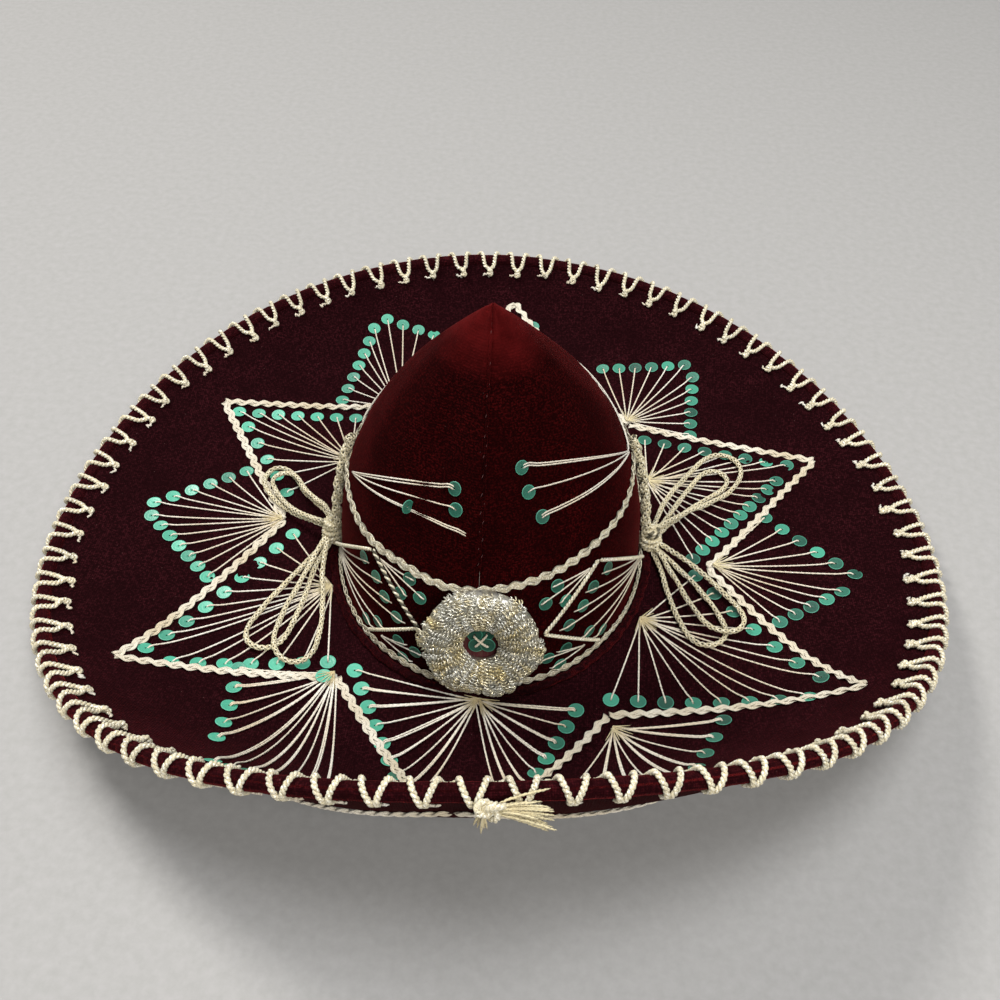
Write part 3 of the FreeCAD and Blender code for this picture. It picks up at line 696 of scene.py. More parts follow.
def brim_cloth(name, top, bottom, node, finish):
    theta = np.linspace(0, 2 * math.pi, 912, endpoint=False)[None]
    speed = rim_speed(theta)
    share = (1 - (1 - np.linspace(0, 1, 88)) ** 1.25)[:, None]
    s = 0.0002 / speed + (1 - 0.0042 / speed) * share
    swell = gentle_waves(theta, s) + (pucker(theta, s) if top == 0 else 0)
    faces = []
    for depth in (top, bottom):
        faces.append(brim_face(theta, s) + brim_normal(theta, s) * (swell - depth)[..., None])
    grid = np.concatenate([faces[0], faces[1][::-1]])
    skein = Skein()
    skein.sheet(grid, around=True, closed=True)
    skein.piece(name, finish, "velvet", node)


brim_cloth("brim_velvet_above", 0, velvet_thick, "brim_top_velvet", brim_velvet)
brim_cloth("brim_velvet_below", brim_stack, brim_stack - velvet_thick, "brim_under_velvet",
           under_velvet)

# %% [markdown]
# ## The rim roll
# The rim is a strip of velvet rolled round a cotton cord.  The strip is a little too wide
# for its cord, so it lies in long folds round the rim, and the lacing pinches it at each
# crossing.  Its radius is a formula of the direction round the hat and the place round
# the roll; the lacing below uses the same frame of reference.

# %% Velvet roll
def roll_frame(theta):
    """Middle of the roll, outward direction and upward direction at each direction."""
    normal = brim_normal(theta, 1.0)
    along = unit(brim_face(theta + 0.01, 1.0) - brim_face(theta - 0.01, 1.0))
    return brim_face(theta, 1.0) - normal * (brim_stack / 2), np.cross(along, normal), normal


def roll_place(theta, around, radius):
    """around in radians: a quarter turn faces up off the brim, zero faces outwards."""
    middle, out, normal = roll_frame(theta)
    direction = out * np.cos(around)[..., None] + normal * np.sin(around)[..., None]
    return middle + direction * np.asarray(radius, float)[..., None], direction


def roll_swell(theta, around):
    folds = sum(np.sin(n * around + 2.2 * np.sin(m * theta + n) + n * n)
                for n, m in ((3, 3), (5, 4), (9, 5), (14, 7))) * 0.00010
    stitch = (theta / (2 * math.pi) * lacing_count) % 1
    crossing = np.abs(stitch - 0.5) * 2
    spread = 0.20 + 0.55 * np.clip((1.2 - around) / 2.6, 0, 1)
    pinch = np.exp(-((1 - crossing - spread) / 0.13) ** 2)
    return folds + 0.00035 * (1 - crossing) - 0.00045 * pinch * np.clip(np.cos(around), 0, 1)


theta = np.linspace(0, 2 * math.pi, 1520, endpoint=False)[None]
around = np.linspace(0, 2 * math.pi, 28, endpoint=False)[:, None]
radius = roll_radius + roll_swell(theta, around)
surface = roll_place(*np.broadcast_arrays(theta, around), radius)[0]
cloth = np.stack(np.broadcast_arrays(theta * 0.25, around * roll_radius, 0 * theta), -1)
roll = Skein()
roll.sheet(surface, around=True, closed=True, lay=cloth)
roll.piece("rim_roll", sheen_lit_roll_velvet, "velvet", "rim_velvet_roll")

# %% [markdown]
# ## The crown's velvet and its seams
# Two pieces of velvet meet in seams down the front and the back.  Each half is a grid from
# the foot to the tip with real thickness; next to the seam it rises over the turned
# allowance and drops into the stitch line.  Long shallow dents make it look handled.  The
# front seam ends under the rosette, and the back one goes down to the foot.

# %% Crown velvet
crown_girth = 0.09           # metres of cloth to one radian round the crown
crown_rise = 0.19            # metres of cloth from the foot to the tip


def crown_swell(front, t):
    """Height over the plain crown: seam allowances, old dents and a slack back."""
    seam = np.minimum(np.abs(front), np.abs(180 - np.abs(front))) / 180 * math.pi
    seam = seam * crown_girth * np.clip(1.1 - t, 0.12, 1)
    ridge = 0.0007 * np.exp(-((seam - 0.0020) / 0.0018) ** 2)
    ridge = ridge - 0.0005 * np.exp(-(seam / 0.0007) ** 2)
    lumps = np.sin(np.radians(front) * 3 + 6 * t) + np.sin(np.radians(front) * 7 - 4 * t + 1)
    lumps = lumps + 0.6 * np.sin(np.radians(front) * 11 + 13 * t)
    return ridge + 0.0004 * lumps * np.clip(np.sin(math.pi * np.clip(t, 0, 1)), 0, 1)


def crown_cloth(name, node, start, end):
    front = np.linspace(start, end, 260)[None]
    seam_bias = 90 * np.sin(math.pi * (front - (start + end) / 2) / 180)
    front = (start + end) / 2 + 0.6 * (front - (start + end) / 2) + 0.4 * seam_bias
    t = (1 - (1 - np.linspace(0, 1, 130)) ** 1.6)[:, None] * 0.9995
    theta = np.radians(front - 90)
    outer = on_crown(front, t * crown_height, crown_swell(front, t))[0]
    inner = crown_face(theta, t, velvet_thick * 0.6)
    grid = np.concatenate([outer, inner[::-1]])
    ground = np.stack(np.broadcast_arrays(np.radians(front) * crown_girth, t * crown_rise,
                                          0 * t), -1)
    skein = Skein()
    skein.sheet(grid, closed=True, lay=np.concatenate([ground, ground[::-1]]))
    skein.piece(name, crown_velvet, "velvet", node)


crown_cloth("crown_velvet_half_left", "crown_velvet_left", -180, -0.15)
crown_cloth("crown_velvet_half_right", "crown_velvet_right", 0.15, 180)

# %% [markdown]
# ## Seam cords and the foot welt
# A narrow folded strip covers each crown seam, sewn with tiny pale stitches that show where
# the pile has worn off.  Round the foot a folded strip of the same velvet hides where the
# crown is sewn to the brim; it is gathered a little, so it ripples.

# %% Seams and welt
seam_thread = cotton_finish("seam thread", (0.16, 0.05, 0.045), (0.07, 0.012, 0.014))


seam_stitch = 0.0042         # from one stitch of a seam to the next


def crown_seam(name, node, front, low, high):
    z = np.linspace(low, high, 180)
    wander = 0.35 * np.sin(z * 60) + 0.2 * np.sin(z * 170)
    path, up = on_crown(front + wander, z, 0.0006)
    strip = Skein()
    strip.tube(path, up, 0.0009 + 0.0001 * np.sin(z * 900), 0.0006, 10, taper=0.004)
    strip.piece(name, crown_velvet, "velvet", node)
    stitches = Skein()
    for k in range(int((high - low) / seam_stitch)):
        at = low + 0.003 + k * seam_stitch + 0.0006 * dice.random()
        z = np.linspace(at, at + 0.0017, 6)
        side = 0.6 if k % 2 else -0.6
        path, up = on_crown(front + side + np.linspace(-0.3, 0.3, 6), z, 0.0010)
        stitches.tube(path, up, 0.00013, sides=5, taper=0.0004)
    stitches.piece(name + "_stitches", seam_thread, "thread")


crown_seam("front_seam", "crown_seam_front", 0, 0.080, 0.187)
crown_seam("rear_seam", "crown_seam_rear", 180, 0.013, 0.187)

theta = np.linspace(0, 2 * math.pi, 720, endpoint=False)
gather = 0.00035 * np.sin(61 * theta + np.sin(7 * theta)) + 0.0003 * np.sin(23 * theta)
welt_offset, welt_width, welt_height = 0.0062, 0.0024, 0.0017
r = foot_radius(theta) + welt_offset + gather
path = np.stack([r * np.cos(theta), r * np.sin(theta),
                 brim_stack + 0.0018 + 0.5 * gather], -1)
welt = Skein()
welt.tube(path, np.array([0.0, 0.0, 1.0]), welt_width, welt_height, 12, closed=True)
welt.piece("foot_welt_velvet", brim_velvet, "velvet", "foot_welt")

# %% [markdown]
# ## The star of braid
# A flat three-strand cotton braid is couched down in a six-pointed star, folded over at
# each point and each inner corner.  Its strands are several yarns wide, and swing from side
# to side, so that both edges of the braid wave.  The line is straight in plan between the
# corners and the brim formula gives the height.

# %% Star braid
star_tips = [(90, 0.81), (150, 0.77), (210, 0.82), (270, 0.86), (332, 0.87), (23, 0.79)]
star_valleys = [(121, 0.26), (176, 0.24), (234, 0.22), (301, 0.28), (356, 0.25), (54, 0.28)]
star_width, braid_thick, braid_sway = 0.0046, 0.0018, 0.0006


def plan(degrees, s):
    return brim_face(math.radians(degrees), s)[:2]


def brim_line(start, end, count, lift):
    f = np.linspace(0, 1, count)
    start, end = np.asarray(start, float), np.asarray(end, float)
    xy = start + (end - start) * f[:, None]
    return on_brim(xy[:, 0], xy[:, 1], lift)


star = Skein()
corners = [plan(*c) for pair in zip(star_tips, star_valleys) for c in pair]
for k, (start, end) in enumerate(zip(corners, corners[1:] + corners[:1])):
    ahead = unit(end - start)
    bend = np.array([-ahead[1], ahead[0]]) * 0.0012 * (dice.random() - 0.5)
    path, up = brim_line(start + ahead * 0.0006, end - ahead * 0.0006, 30, 0.0003)
    path[:, :2] += np.sin(np.linspace(0, 2 * math.pi, 30))[:, None] * bend
    plait(star, path, up, star_width, 0.0255 + 0.002 * dice.random(), braid_thick, yarns=4,
          phase=6 * dice.random(), sway=braid_sway)
star.piece("star_of_braid", braid_cotton, "braid", "star_braid")

# %% [markdown]
# ## The braid under the brim
# A second line of the same braid is sewn to the underside, in a shallow zigzag with the
# star's directions.  It is made as the star is, with the brim's normal turned over.

# %% Braid under the brim
under = Skein()
under_inner, under_outer = 0.72, 0.92        # shares of the brim's width
zigzag = []
for tip, dip in zip(star_tips, star_valleys):
    zigzag += [(tip[0], under_outer), (dip[0], under_inner)]
for (a0, s0), (a1, s1) in zip(zigzag, zigzag[1:] + zigzag[:1]):
    f = np.linspace(0.01, 0.99, 24)
    theta = np.radians(a0 + ((a1 - a0 + 180) % 360 - 180) * f)
    s = s0 + (s1 - s0) * f
    down = -brim_normal(theta, s)
    path = brim_face(theta, s) + down * (brim_stack + 0.0002)
    plait(under, path, down, 0.0050, 0.0235, braid_thick, yarns=2, step=0.0014,
          sway=braid_sway)
under.piece("braid_under_brim", braid_cotton, "braid", "under_braid")

# %% [markdown]
# ## Fans of thread
# Inside every star point, and outside every inner corner, threads run from one hole like
# the ribs of a fan, and each ends in the hole of a sequin.  Threads pile up where they come
# out of the cloth, so each is lifted a little more than the last, and they turn golden
# there with handling.  Near the front some ribs are two threads side by side.  A fan is
# written as its origin and its rows of sequins, as (degrees, metres from the middle).

# %% Where the fans are
tip_fans = [
    ((90, 0.118), [((67, 0.150), (86, 0.214), 8), ((94, 0.214), (113, 0.150), 8)]),
    ((146, 0.118), [((133, 0.148), (150, 0.208), 7), ((152, 0.194), (166, 0.138), 5)]),
    ((205, 0.101), [((181, 0.123), (209, 0.212), 9), ((213, 0.202), (229, 0.129), 7)]),
    ((271, 0.117), [((236, 0.123), (263, 0.199), 9), ((276, 0.199), (295, 0.131), 8)]),
    ((330, 0.105), [((304, 0.133), (328, 0.211), 8), ((333, 0.211), (353, 0.126), 7)]),
    ((33, 0.116), [((-1, 0.124), (21, 0.194), 10), ((24, 0.207), (47, 0.141), 8)]),
]
valley_fans = [
    ((121, 0.140), [((106, 0.207), (114, 0.227), 4), ((117, 0.222), (132, 0.169), 7)]),
    ((176, 0.132), [((163, 0.171), (176, 0.215), 6), ((179, 0.213), (194, 0.172), 7)]),
    ((233, 0.132), [((219, 0.171), (232, 0.209), 5), ((238, 0.227), (252, 0.211), 7)]),
    ((300, 0.151), [((287, 0.186), (297, 0.212), 4), ((301, 0.212), (317, 0.183), 5)]),
    ((357, 0.136), [((344, 0.179), (353, 0.212), 5), ((357, 0.220), (372, 0.175), 6)]),
    ((55, 0.146), [((41, 0.168), (52, 0.212), 6), ((55, 0.218), (69, 0.187), 6)]),
]
apex_sequin = (232, 0.138)                   # one sequin sits by the hole of a valley fan
fan_thread_width, band_thread_width = 0.0012, 0.00105


def polar(degrees, distance):
    a = math.radians(degrees)
    return np.array([math.cos(a), math.sin(a)]) * distance


def fan_places(rows):
    """Plan places of a fan's sequins, in order round the fan."""
    places = []
    for start, end, count in rows:
        start, end = polar(*start), polar(*end)
        places += [start + (end - start) * k / (count - 1) for k in range(count)]
    return places


def rib(skein, start, end, surface, pile_up, width, colour):
    """One thread over a surface: up out of its hole, along, and down into the sequin."""
    f = np.linspace(0, 1, 40)
    wobble = 0.00025 * np.sin(f * math.pi) * (dice.random() - 0.5) * 4
    lift = 0.0007 + pile_up * np.exp(-f * 7) + 0.0009 * np.exp(-((f - 0.96) / 0.05) ** 2)
    lift = lift - 0.0012 * np.exp(-f * 40) - 0.0016 * np.clip((f - 0.985) / 0.015, 0, 1)
    path, up = surface(start, end, f, lift)
    path = path + beside(path, up) * wobble[:, None]
    line = spaced(np.c_[path, up], 0.00085)
    skein.tube(line[:, :3], unit(line[:, 3:]), width / 2, width * 0.42, 6, lobes=2,
               twist=0.0055 + 0.001 * dice.random(), colour=colour, taper=0.0006)


def over_brim(start, end, f, lift):
    xy = np.asarray(start) + (np.asarray(end) - start) * f[:, None]
    return on_brim(xy[:, 0], xy[:, 1], lift)


print("fans on the brim:", len(tip_fans) + len(valley_fans))

# %% [markdown]
# ## Sequins
# A sequin is a thin cupped disc of coloured plastic with a hole for the thread.  One disc
# is drawn as rings from the hole to the rim, and every sequin is a copy turned to the
# surface and tipped a few degrees, as the thread pulls it.  Each keeps its own tone number,
# and the finish blends by it from the colour of a sequin in shade to that of one in full
# light: painted light and shade, with a random part that varies the tone.

# %% Sequin helper and finish
def sequin_finish(name, bright, deep):
    f = Finish(name, Roughness=0.42, Coat_Weight=0.2, Coat_Roughness=0.3,
               Specular_IOR_Level=0.5, Transmission_Weight=0.1)
    place = f.add("SeparateXYZ", {0: f.lay()})
    tone = f.math("ADD", place.outputs[2], f.math("MULTIPLY", f.noise(f.where(), 240, 2), 0.12))
    # painted light and shade: the tone blends from deep, the colour of a sequin in shade, to bright,
    # that of a sequin in full light
    colour = f.mix(f.ramp(tone, 0.1, 1.05), deep, bright)
    edge = f.ramp(place.outputs[0], 0.86, 0.98)
    pale = tuple(min(1, c * 1.4 + 0.05) for c in bright)
    colour = f.mix(f.math("MULTIPLY", edge, 0.45), colour, pale)
    f.wire("Base Color", colour)
    f.bump(f.noise(f.where(), 900, 2), 0.00012)
    return f.material


sequin_green = sequin_finish("green sequin", (0.070, 0.44, 0.285), (0.010, 0.078, 0.050))
sequin_size, band_sequin_size, eye_sequin_size = 0.0090, 0.0078, 0.0082


def sequin(skein, place, normal, size, tone, tip=5.0):
    """A cupped disc: its face outwards, then its back, joined at the hole and the rim."""
    sides = 28
    steps = np.array([0.10, 0.16, 0.45, 0.80, 0.94, 1.00, 1.00, 0.80, 0.45, 0.12])
    rise = np.array([0.30, 0.42, 0.32, 0.42, 0.50, 0.44, 0.30, 0.16, 0.04, 0.10]) * MM
    lean = unit(np.array(normal) + math.radians(tip) * dice.normal(size=3) * 0.6)
    across = unit(np.cross(lean, [0.3, 0.8, 0.1]))
    other = np.cross(lean, across)
    a = np.arange(sides) * 2 * math.pi / sides
    circle = across * np.cos(a)[:, None] + other * np.sin(a)[:, None]
    grid = place + circle[None] * (steps * size / 2)[:, None, None] + lean * rise[:, None, None]
    lay = np.stack(np.broadcast_arrays(steps[:, None], a / (2 * math.pi), tone), -1)
    skein.sheet(grid, around=True, closed=True, lay=lay)


print("sequins are", sequin_size, "m across")

# %% [markdown]
# ## Threads and sequins on the brim
# Each fan's threads are one piece, and the sequins of all fans of a kind are another.  A
# thread gets its own hue, start and lift, and where all threads meet, short loose yarns
# bunch over the hole.

# %% Brim fans
def sequin_light_and_tone(place):
    """Painted light: sequins towards the left, where the light comes from, are made brighter; the
    random part varies the tone.
    """
    side = np.clip(0.4 - place[0] / 0.22, 0, 1)
    return float(np.clip(0.30 + 0.55 * side + 0.22 * dice.normal(), 0, 1))


tuft = Skein()
for kind, fans in (("tip", tip_fans), ("valley", valley_fans)):
    discs = Skein()
    for k, (origin, rows) in enumerate(fans):
        threads = Skein()
        start = polar(*origin)
        doubled = start[1] < -0.09
        for j, place in enumerate(fan_places(rows)):
            ahead = unit(place - start)
            aside = np.array([-ahead[1], ahead[0]])
            begin = start + aside * 0.0008 * dice.normal() + ahead * 0.0006 * dice.normal()
            pile_up = 0.0004 + 0.0018 * dice.random()
            pair = (-0.00055, 0.00055) if doubled and j % 3 else (0,)
            for shift in pair:
                rib(threads, begin, place + aside * shift, over_brim, pile_up,
                    fan_thread_width, dice.random())
            p, n = on_brim(place[0], place[1], 0.0003)
            sequin(discs, p, n, sequin_size, sequin_light_and_tone(place))
            bunch, up = over_brim(start, start + ahead * (0.008 + 0.005 * dice.random()),
                                  np.linspace(0, 1, 12), 0.0012 + pile_up)
            tuft.tube(bunch, up, 0.00045 * np.linspace(1, 0.3, 12), sides=5)
        threads.piece(f"{kind}_fan_{k + 1}", fan_thread, "thread",
                      f"{kind}_fan_threads_{k + 1}")
    if kind == "valley":
        p, n = on_brim(*polar(*apex_sequin), 0.0025)
        # a high tone: painted light, as on the other sequins towards the left
        sequin(discs, p, n, sequin_size, 0.9)
    discs.piece(f"{kind}_fan_discs", sequin_green, "sequin", f"{kind}_fan_sequins")
tuft.piece("fan_tufts", tuft_cotton, "thread")

# %% [markdown]
# ## The hat band
# Two metallic braids run round the crown, one at the foot and one above it, and between
# them a thin two-ply rope draws a diamond on each quarter with fans of thread in and
# around it.  The places are (degrees round from the front seam, metres up).

# %% Band braids
band_height, band_rise, band_slant, foot_height = 0.070, 0.0095, 0.0035, 0.0076
around_crown = np.linspace(0, 360, 240, endpoint=False)
slope = np.sin(np.radians(around_crown))
upper_level = band_height + band_rise * slope ** 2 + band_slant * slope
lower_level = foot_height + 0 * slope
for name, node, level, lift, width in (
        ("band_braid_upper", "band_upper_cord", upper_level, 0.0003, 0.0045),
        ("band_braid_lower", "band_lower_cord", lower_level, 0.0010, 0.0042)):
    wander = 0.0005 * np.sin(np.radians(around_crown) * 9)
    path, up = on_crown(around_crown, level + wander, lift)
    band = Skein()
    plait(band, path, up, width, 0.024, 0.0020, yarns=4, closed=True, step=0.0009,
          sway=0.0005)
    band.piece(name, band_lame, "braid", node)

# %% [markdown]
# ## Ropes and fans of the band
# A thread on the crown is pulled tight between two holes, so it takes nearly the shortest
# way over the curved velvet.  That way is found by starting with the straight line, which
# cuts through the crown, and pushing each of its points out until it meets the surface.
# The same motif is drawn on each side and mirrored to the back.

# %% Where the band's motifs are
band_corners = [(80, 0.022), (48, 0.067), (24, 0.038), (50, 0.009)]
band_fans = [
    ((80, 0.023), [(51, 0.057), (43, 0.053), (38, 0.045), (32, 0.037), (41, 0.023), (48, 0.015)]),
    ((45, 0.065), [(28, 0.065), (23, 0.057), (31, 0.054)]),
    ((44, 0.013), [(31, 0.021), (24, 0.019), (29, 0.010)]),
]
side_fans = {
    "left": ((77, 0.084), [(15, 0.117), (13, 0.108), (8, 0.098)]),
    "right": ((90, 0.091), [(19, 0.126), (21, 0.114), (26, 0.101)]),
}
band_turn = 1.2              # degrees that the band sits round towards +X
taut_rise = math.radians(35)
settling_rounds, settling_share = 12, 0.8
print("threads in one motif of the band:", sum(len(ends) for _, ends in band_fans))


# %% Taut lines and two-ply rope
def over_crown(start, end, f, lift):
    """A taut line: the straight line between two places, pushed outwards and a little up."""
    first, last = on_crown(*start)[0], on_crown(*end)[0]
    middle = math.radians((start[0] + end[0]) / 2 - 90)
    push = np.array([math.cos(taut_rise) * math.cos(middle),
                     math.cos(taut_rise) * math.sin(middle), math.sin(taut_rise)])
    p = first + (last - first) * f[:, None]
    for _ in range(settling_rounds):
        forward = crown_lean * (p[:, 2] / crown_height) ** 1.8
        front = np.degrees(np.arctan2(p[:, 0], -forward - p[:, 1]))
        surface, up = on_crown(front, p[:, 2], lift)
        p = p + push * (settling_share * (surface - p) @ push)[:, None]
    return surface, up


def two_ply(skein, path, up, ply, lay_length, step=0.0006, closed=False, colour=None):
    """Two yarns twisted round each other along a line."""
    line = spaced(np.c_[path, up], step, closed)
    path, up = line[:, :3], unit(line[:, 3:])
    side, run = beside(path, up, closed), lengths(path)
    for k in (0, 1):
        a = 2 * math.pi * run / lay_length + k * math.pi
        offset = side * np.cos(a)[:, None] + up * np.sin(a)[:, None]
        skein.tube(path + offset * ply * 0.82, up, ply, sides=6, closed=closed, colour=colour,
                   taper=0.001)


print("taut lines settle in", settling_rounds, "rounds")

# %% [markdown]
# ## The two sides of the band
# Both sides are sewn from one drawing.  One sequin of the left side has slipped along its
# thread and hangs edge-on, as old ones do, so the end of that thread is bare.

# %% The two sides of the band
def band_side(side, name):
    ropes, threads, discs, high_threads, high_discs = (Skein() for _ in range(5))
    for mirror in (False, True):
        def place(p):
            return np.array((side * (180 - p[0] if mirror else p[0]) + band_turn, p[1]))

        for start, end in zip(band_corners, band_corners[1:]):
            path, up = over_crown(place(start), place(end), np.linspace(0, 1, 24), 0.0030)
            two_ply(ropes, path, up, 0.00065, 0.0046)
        for origin, ends in band_fans:
            for end in ends:
                rib(threads, place(origin), place(end), over_crown, 0.0012 * dice.random(),
                    band_thread_width, dice.random())
                p, n = on_crown(*place(end), 0.0003)
                # a low tone: painted shade on the sequins of the crown's sides
                sequin(discs, p, n, band_sequin_size, 0.25 * dice.random(), 3)
        origin, ends = side_fans[name]
        for k, end in enumerate(ends):
            for apart in (-0.0006, 0.0006) if k != 1 else (0,):
                rib(high_threads, place(origin), place(end) + (0, apart), over_crown,
                    0.0012 * dice.random(), band_thread_width, dice.random())
            slipped = name == "left" and not mirror and k == 2
            if slipped:
                short = np.linspace(0.60, 0.62, 3)
                path, up = over_crown(place(origin), place(end), short, 0.0035)
                edge_on = unit(path[2] - path[0]) + 0.25 * up[1]
                # a low tone: painted shade on the sequins of the crown's sides
                sequin(high_discs, path[1], edge_on, band_sequin_size, 0.2)
            else:
                p, n = on_crown(*place(end), 0.0003)
                # a low tone: painted shade on the sequins of the crown's sides
                sequin(high_discs, p, n, band_sequin_size, 0.25 * dice.random(), 3)
    ropes.piece("band_rope_plies_" + name, lacing_lame, "lacing", "band_rope_" + name)
    threads.piece("band_fan_" + name, fan_thread, "thread", "band_threads_" + name)
    discs.piece("band_discs_" + name, sequin_green, "sequin", "band_sequins_" + name)
    high_threads.piece("crown_fan_" + name, fan_thread, "thread", "crown_fan_threads_" + name)
    high_discs.piece("crown_discs_" + name, sequin_green, "sequin", "crown_fan_sequins_" + name)


band_side(-1, "left")
band_side(1, "right")

# %% [markdown]
# ## The rosette
# At the front a thick ring of metal purl is sewn to a disc of felt.  Purl is fine wire
# coiled like a spring and cut into lengths; each length is laid over the ring from the eye
# to the edge.  Here every length is a small helix along an arch, with its own tilt, so the
# ring sparkles unevenly.  The outer edge has six soft lobes.  In the eye sit four green
# sequins with a cross of thread.

# %% Purl finish
def purl_finish(name):
    f = Finish(name, Metallic=0.85, Specular_IOR_Level=0.6)
    own = f.add("SeparateXYZ", {0: f.lay()}).outputs[2]
    patch = f.noise(f.where(), 90, 3)
    gold = f.ramp(f.math("ADD", f.math("MULTIPLY", own, 0.35), patch), 0.55, 0.90)
    metal = f.mix(gold, (0.93, 0.92, 0.84), (0.90, 0.76, 0.42))
    tarnish = f.ramp(f.noise(f.where(), 420, 3, 0.7), 0.62, 0.40)
    f.wire("Base Color", f.mix(f.math("MULTIPLY", tarnish, 0.6), metal, (0.20, 0.18, 0.12)))
    f.wire("Roughness", f.ramp(tarnish, -0.55, 1.9))
    f.bump(f.noise(f.where(), 1600, 2), 0.0002)
    return f.material


purl = purl_finish("silver purl")
print("purl finish made")

# %% [markdown]
# ## The ring of purl
# A smooth ring lies hidden below, so that no gap shows through.  Three rounds of purl cover
# it: one dips into the eye, one lies on top, and one runs down to the edge.

# %% Rosette
tilt = math.radians(18)
rosette_height, rosette_gap, rosette_side = 0.045, 0.0055, 0.0025
rosette_normal = np.array([0, -math.cos(tilt), math.sin(tilt)])
rosette_up = np.array([0, math.sin(tilt), math.cos(tilt)])
rosette_right = np.array([1.0, 0, 0])
rosette_face = (on_crown(0, rosette_height)[0] + rosette_normal * rosette_gap
                + rosette_right * rosette_side)
backing_thick, ring_deep = 0.0016, 0.006
eye_radius, ring_radius = 0.0105, 0.0315
ring_middle = (ring_radius + eye_radius) / 2
ring_half = (ring_radius - eye_radius) / 2


def rosette_place(angle, distance, height):
    flat = rosette_right * np.cos(angle)[..., None] + rosette_up * np.sin(angle)[..., None]
    return rosette_face + flat * np.asarray(distance)[..., None] + (
        rosette_normal * np.asarray(height)[..., None])


def ring_skin(angle, across, grow=0.0):
    """The ring's surface; across runs from the eye (-1) over the top to the edge (1)."""
    lobes = 1 + 0.045 * np.cos(6 * angle + 0.5) * (across + 1) / 2
    distance = (ring_middle + (ring_half + grow) * across) * lobes
    height = backing_thick + ring_deep * 0.7 + (ring_deep + grow) * np.sqrt(
        np.clip(1 - np.abs(across) ** 2.4, 0, 1))
    return rosette_place(angle, distance, height)


ring = Skein()
angle = np.linspace(0, 2 * math.pi, 120, endpoint=False)
over = np.sin(np.linspace(-math.pi / 2, math.pi / 2, 24))[:, None]
top = ring_skin(*np.broadcast_arrays(angle[None], over), -0.0012)
under_side = rosette_place(*np.broadcast_arrays(
    angle[None], ring_middle - over * (ring_half - 0.0012), backing_thick + 0.0004))
ring.sheet(np.concatenate([top, under_side[1:-1]]), around=True, closed=True,
           lay=np.concatenate([top, under_side[1:-1]]) * 0 + 0.2)

coil_turn, coil_reach, wire_radius = 0.0019, 0.00088, 0.00040
# three overlapping rounds of purl: how many, and from where to where across the ring
for count, first, last in ((46, -0.99, 0.15), (60, -0.35, 0.70), (72, 0.15, 1.0)):
    for k in range(count):
        base = 2 * math.pi * (k + 0.7 * dice.random()) / count
        begin = first + 0.16 * dice.random()
        end = last - 0.14 * dice.random()
        f = np.linspace(0, 1, 14)
        across = np.sin((begin + (end - begin) * f) * math.pi / 2)
        lean = 0.20 * (dice.random() - 0.5) * f + 0.03 * np.sin(f * 9 + 6 * dice.random())
        line = ring_skin(base + lean, across, 0.0002 + 0.0008 * dice.random())
        line = spaced(line, 0.00024)
        up_way = unit(line - rosette_place(np.full(len(line), base), ring_middle, 0.004))
        side, run = beside(line, up_way), lengths(line)
        turn = run / coil_turn * 2 * math.pi + 6 * dice.random()
        reach = coil_reach + 0.0002 * dice.random()
        coil = line + side * (np.cos(turn) * reach * 1.2)[:, None] + (
            up_way * (np.sin(turn) * reach * 0.75)[:, None])
        ring.tube(coil, up_way, wire_radius, sides=5, taper=0.0003)
ring.piece("rosette_purl", purl, "bullion", "rosette_ring")

# %% [markdown]
# ## The rosette's felt and its eye
# A disc of dark red felt, scalloped very slightly by its stitches, backs the ring.  The
# four sequins overlap in the eye, so each lies half a millimetre over the last, and two
# two-ply stitches cross over them and dip at their ends.

# %% Felt backing and the eye
felt = cotton_finish("red felt backing", (0.10, 0.012, 0.016), (0.05, 0.006, 0.008))
backing = Skein()
steps = np.array([0.0, 0.6, 0.97, 1.0, 1.0, 0.97, 0.6, 0.0])[:, None] * 0.028 + 1e-5
heights = np.array([1.0, 1.0, 1.0, 0.8, 0.2, 0.0, 0.0, 0.0])[:, None] * backing_thick
scallop = 1 + 0.01 * np.sin(24 * angle)[None]
backing.sheet(rosette_place(*np.broadcast_arrays(angle[None], steps * scallop, heights)),
              around=True)
backing.piece("rosette_felt", felt, "backing", "rosette_backing")

eye = Skein()
for k in range(4):
    a = math.radians(45 + 90 * k + 8)
    p = rosette_place(np.array(a), 0.0044, backing_thick + 0.0002 + k * 0.0005)
    # a low tone: these sequins take nearly the colour of a sequin in shade, as painted shade
    sequin(eye, p, rosette_normal, eye_sequin_size, 0.12 * dice.random(), 3)
eye.piece("rosette_eye_discs", sequin_green, "sequin", "rosette_sequins")
cross = Skein()
for k, a in enumerate((52, 141)):
    f = np.linspace(-1, 1, 16)
    way = np.full(16, math.radians(a))
    height = backing_thick + 0.0034 + k * 0.0006 - 0.0012 * f ** 4
    path = rosette_place(way, 0.0052 * f, height)
    two_ply(cross, path, np.broadcast_to(rosette_normal, path.shape), 0.0004, 0.003, 0.0004)
cross.piece("rosette_cross", fan_thread, "thread", "rosette_stitches")

# %% [markdown]
# ## Bundles and knots of the bows
# The bow's cords run together up the crown in a soft bundle, wrapped by more cord, and are
# bound at its foot.  The bundle is three cords plaited loosely and pressed to the velvet;
# the knot is a few tight turns round all of them.

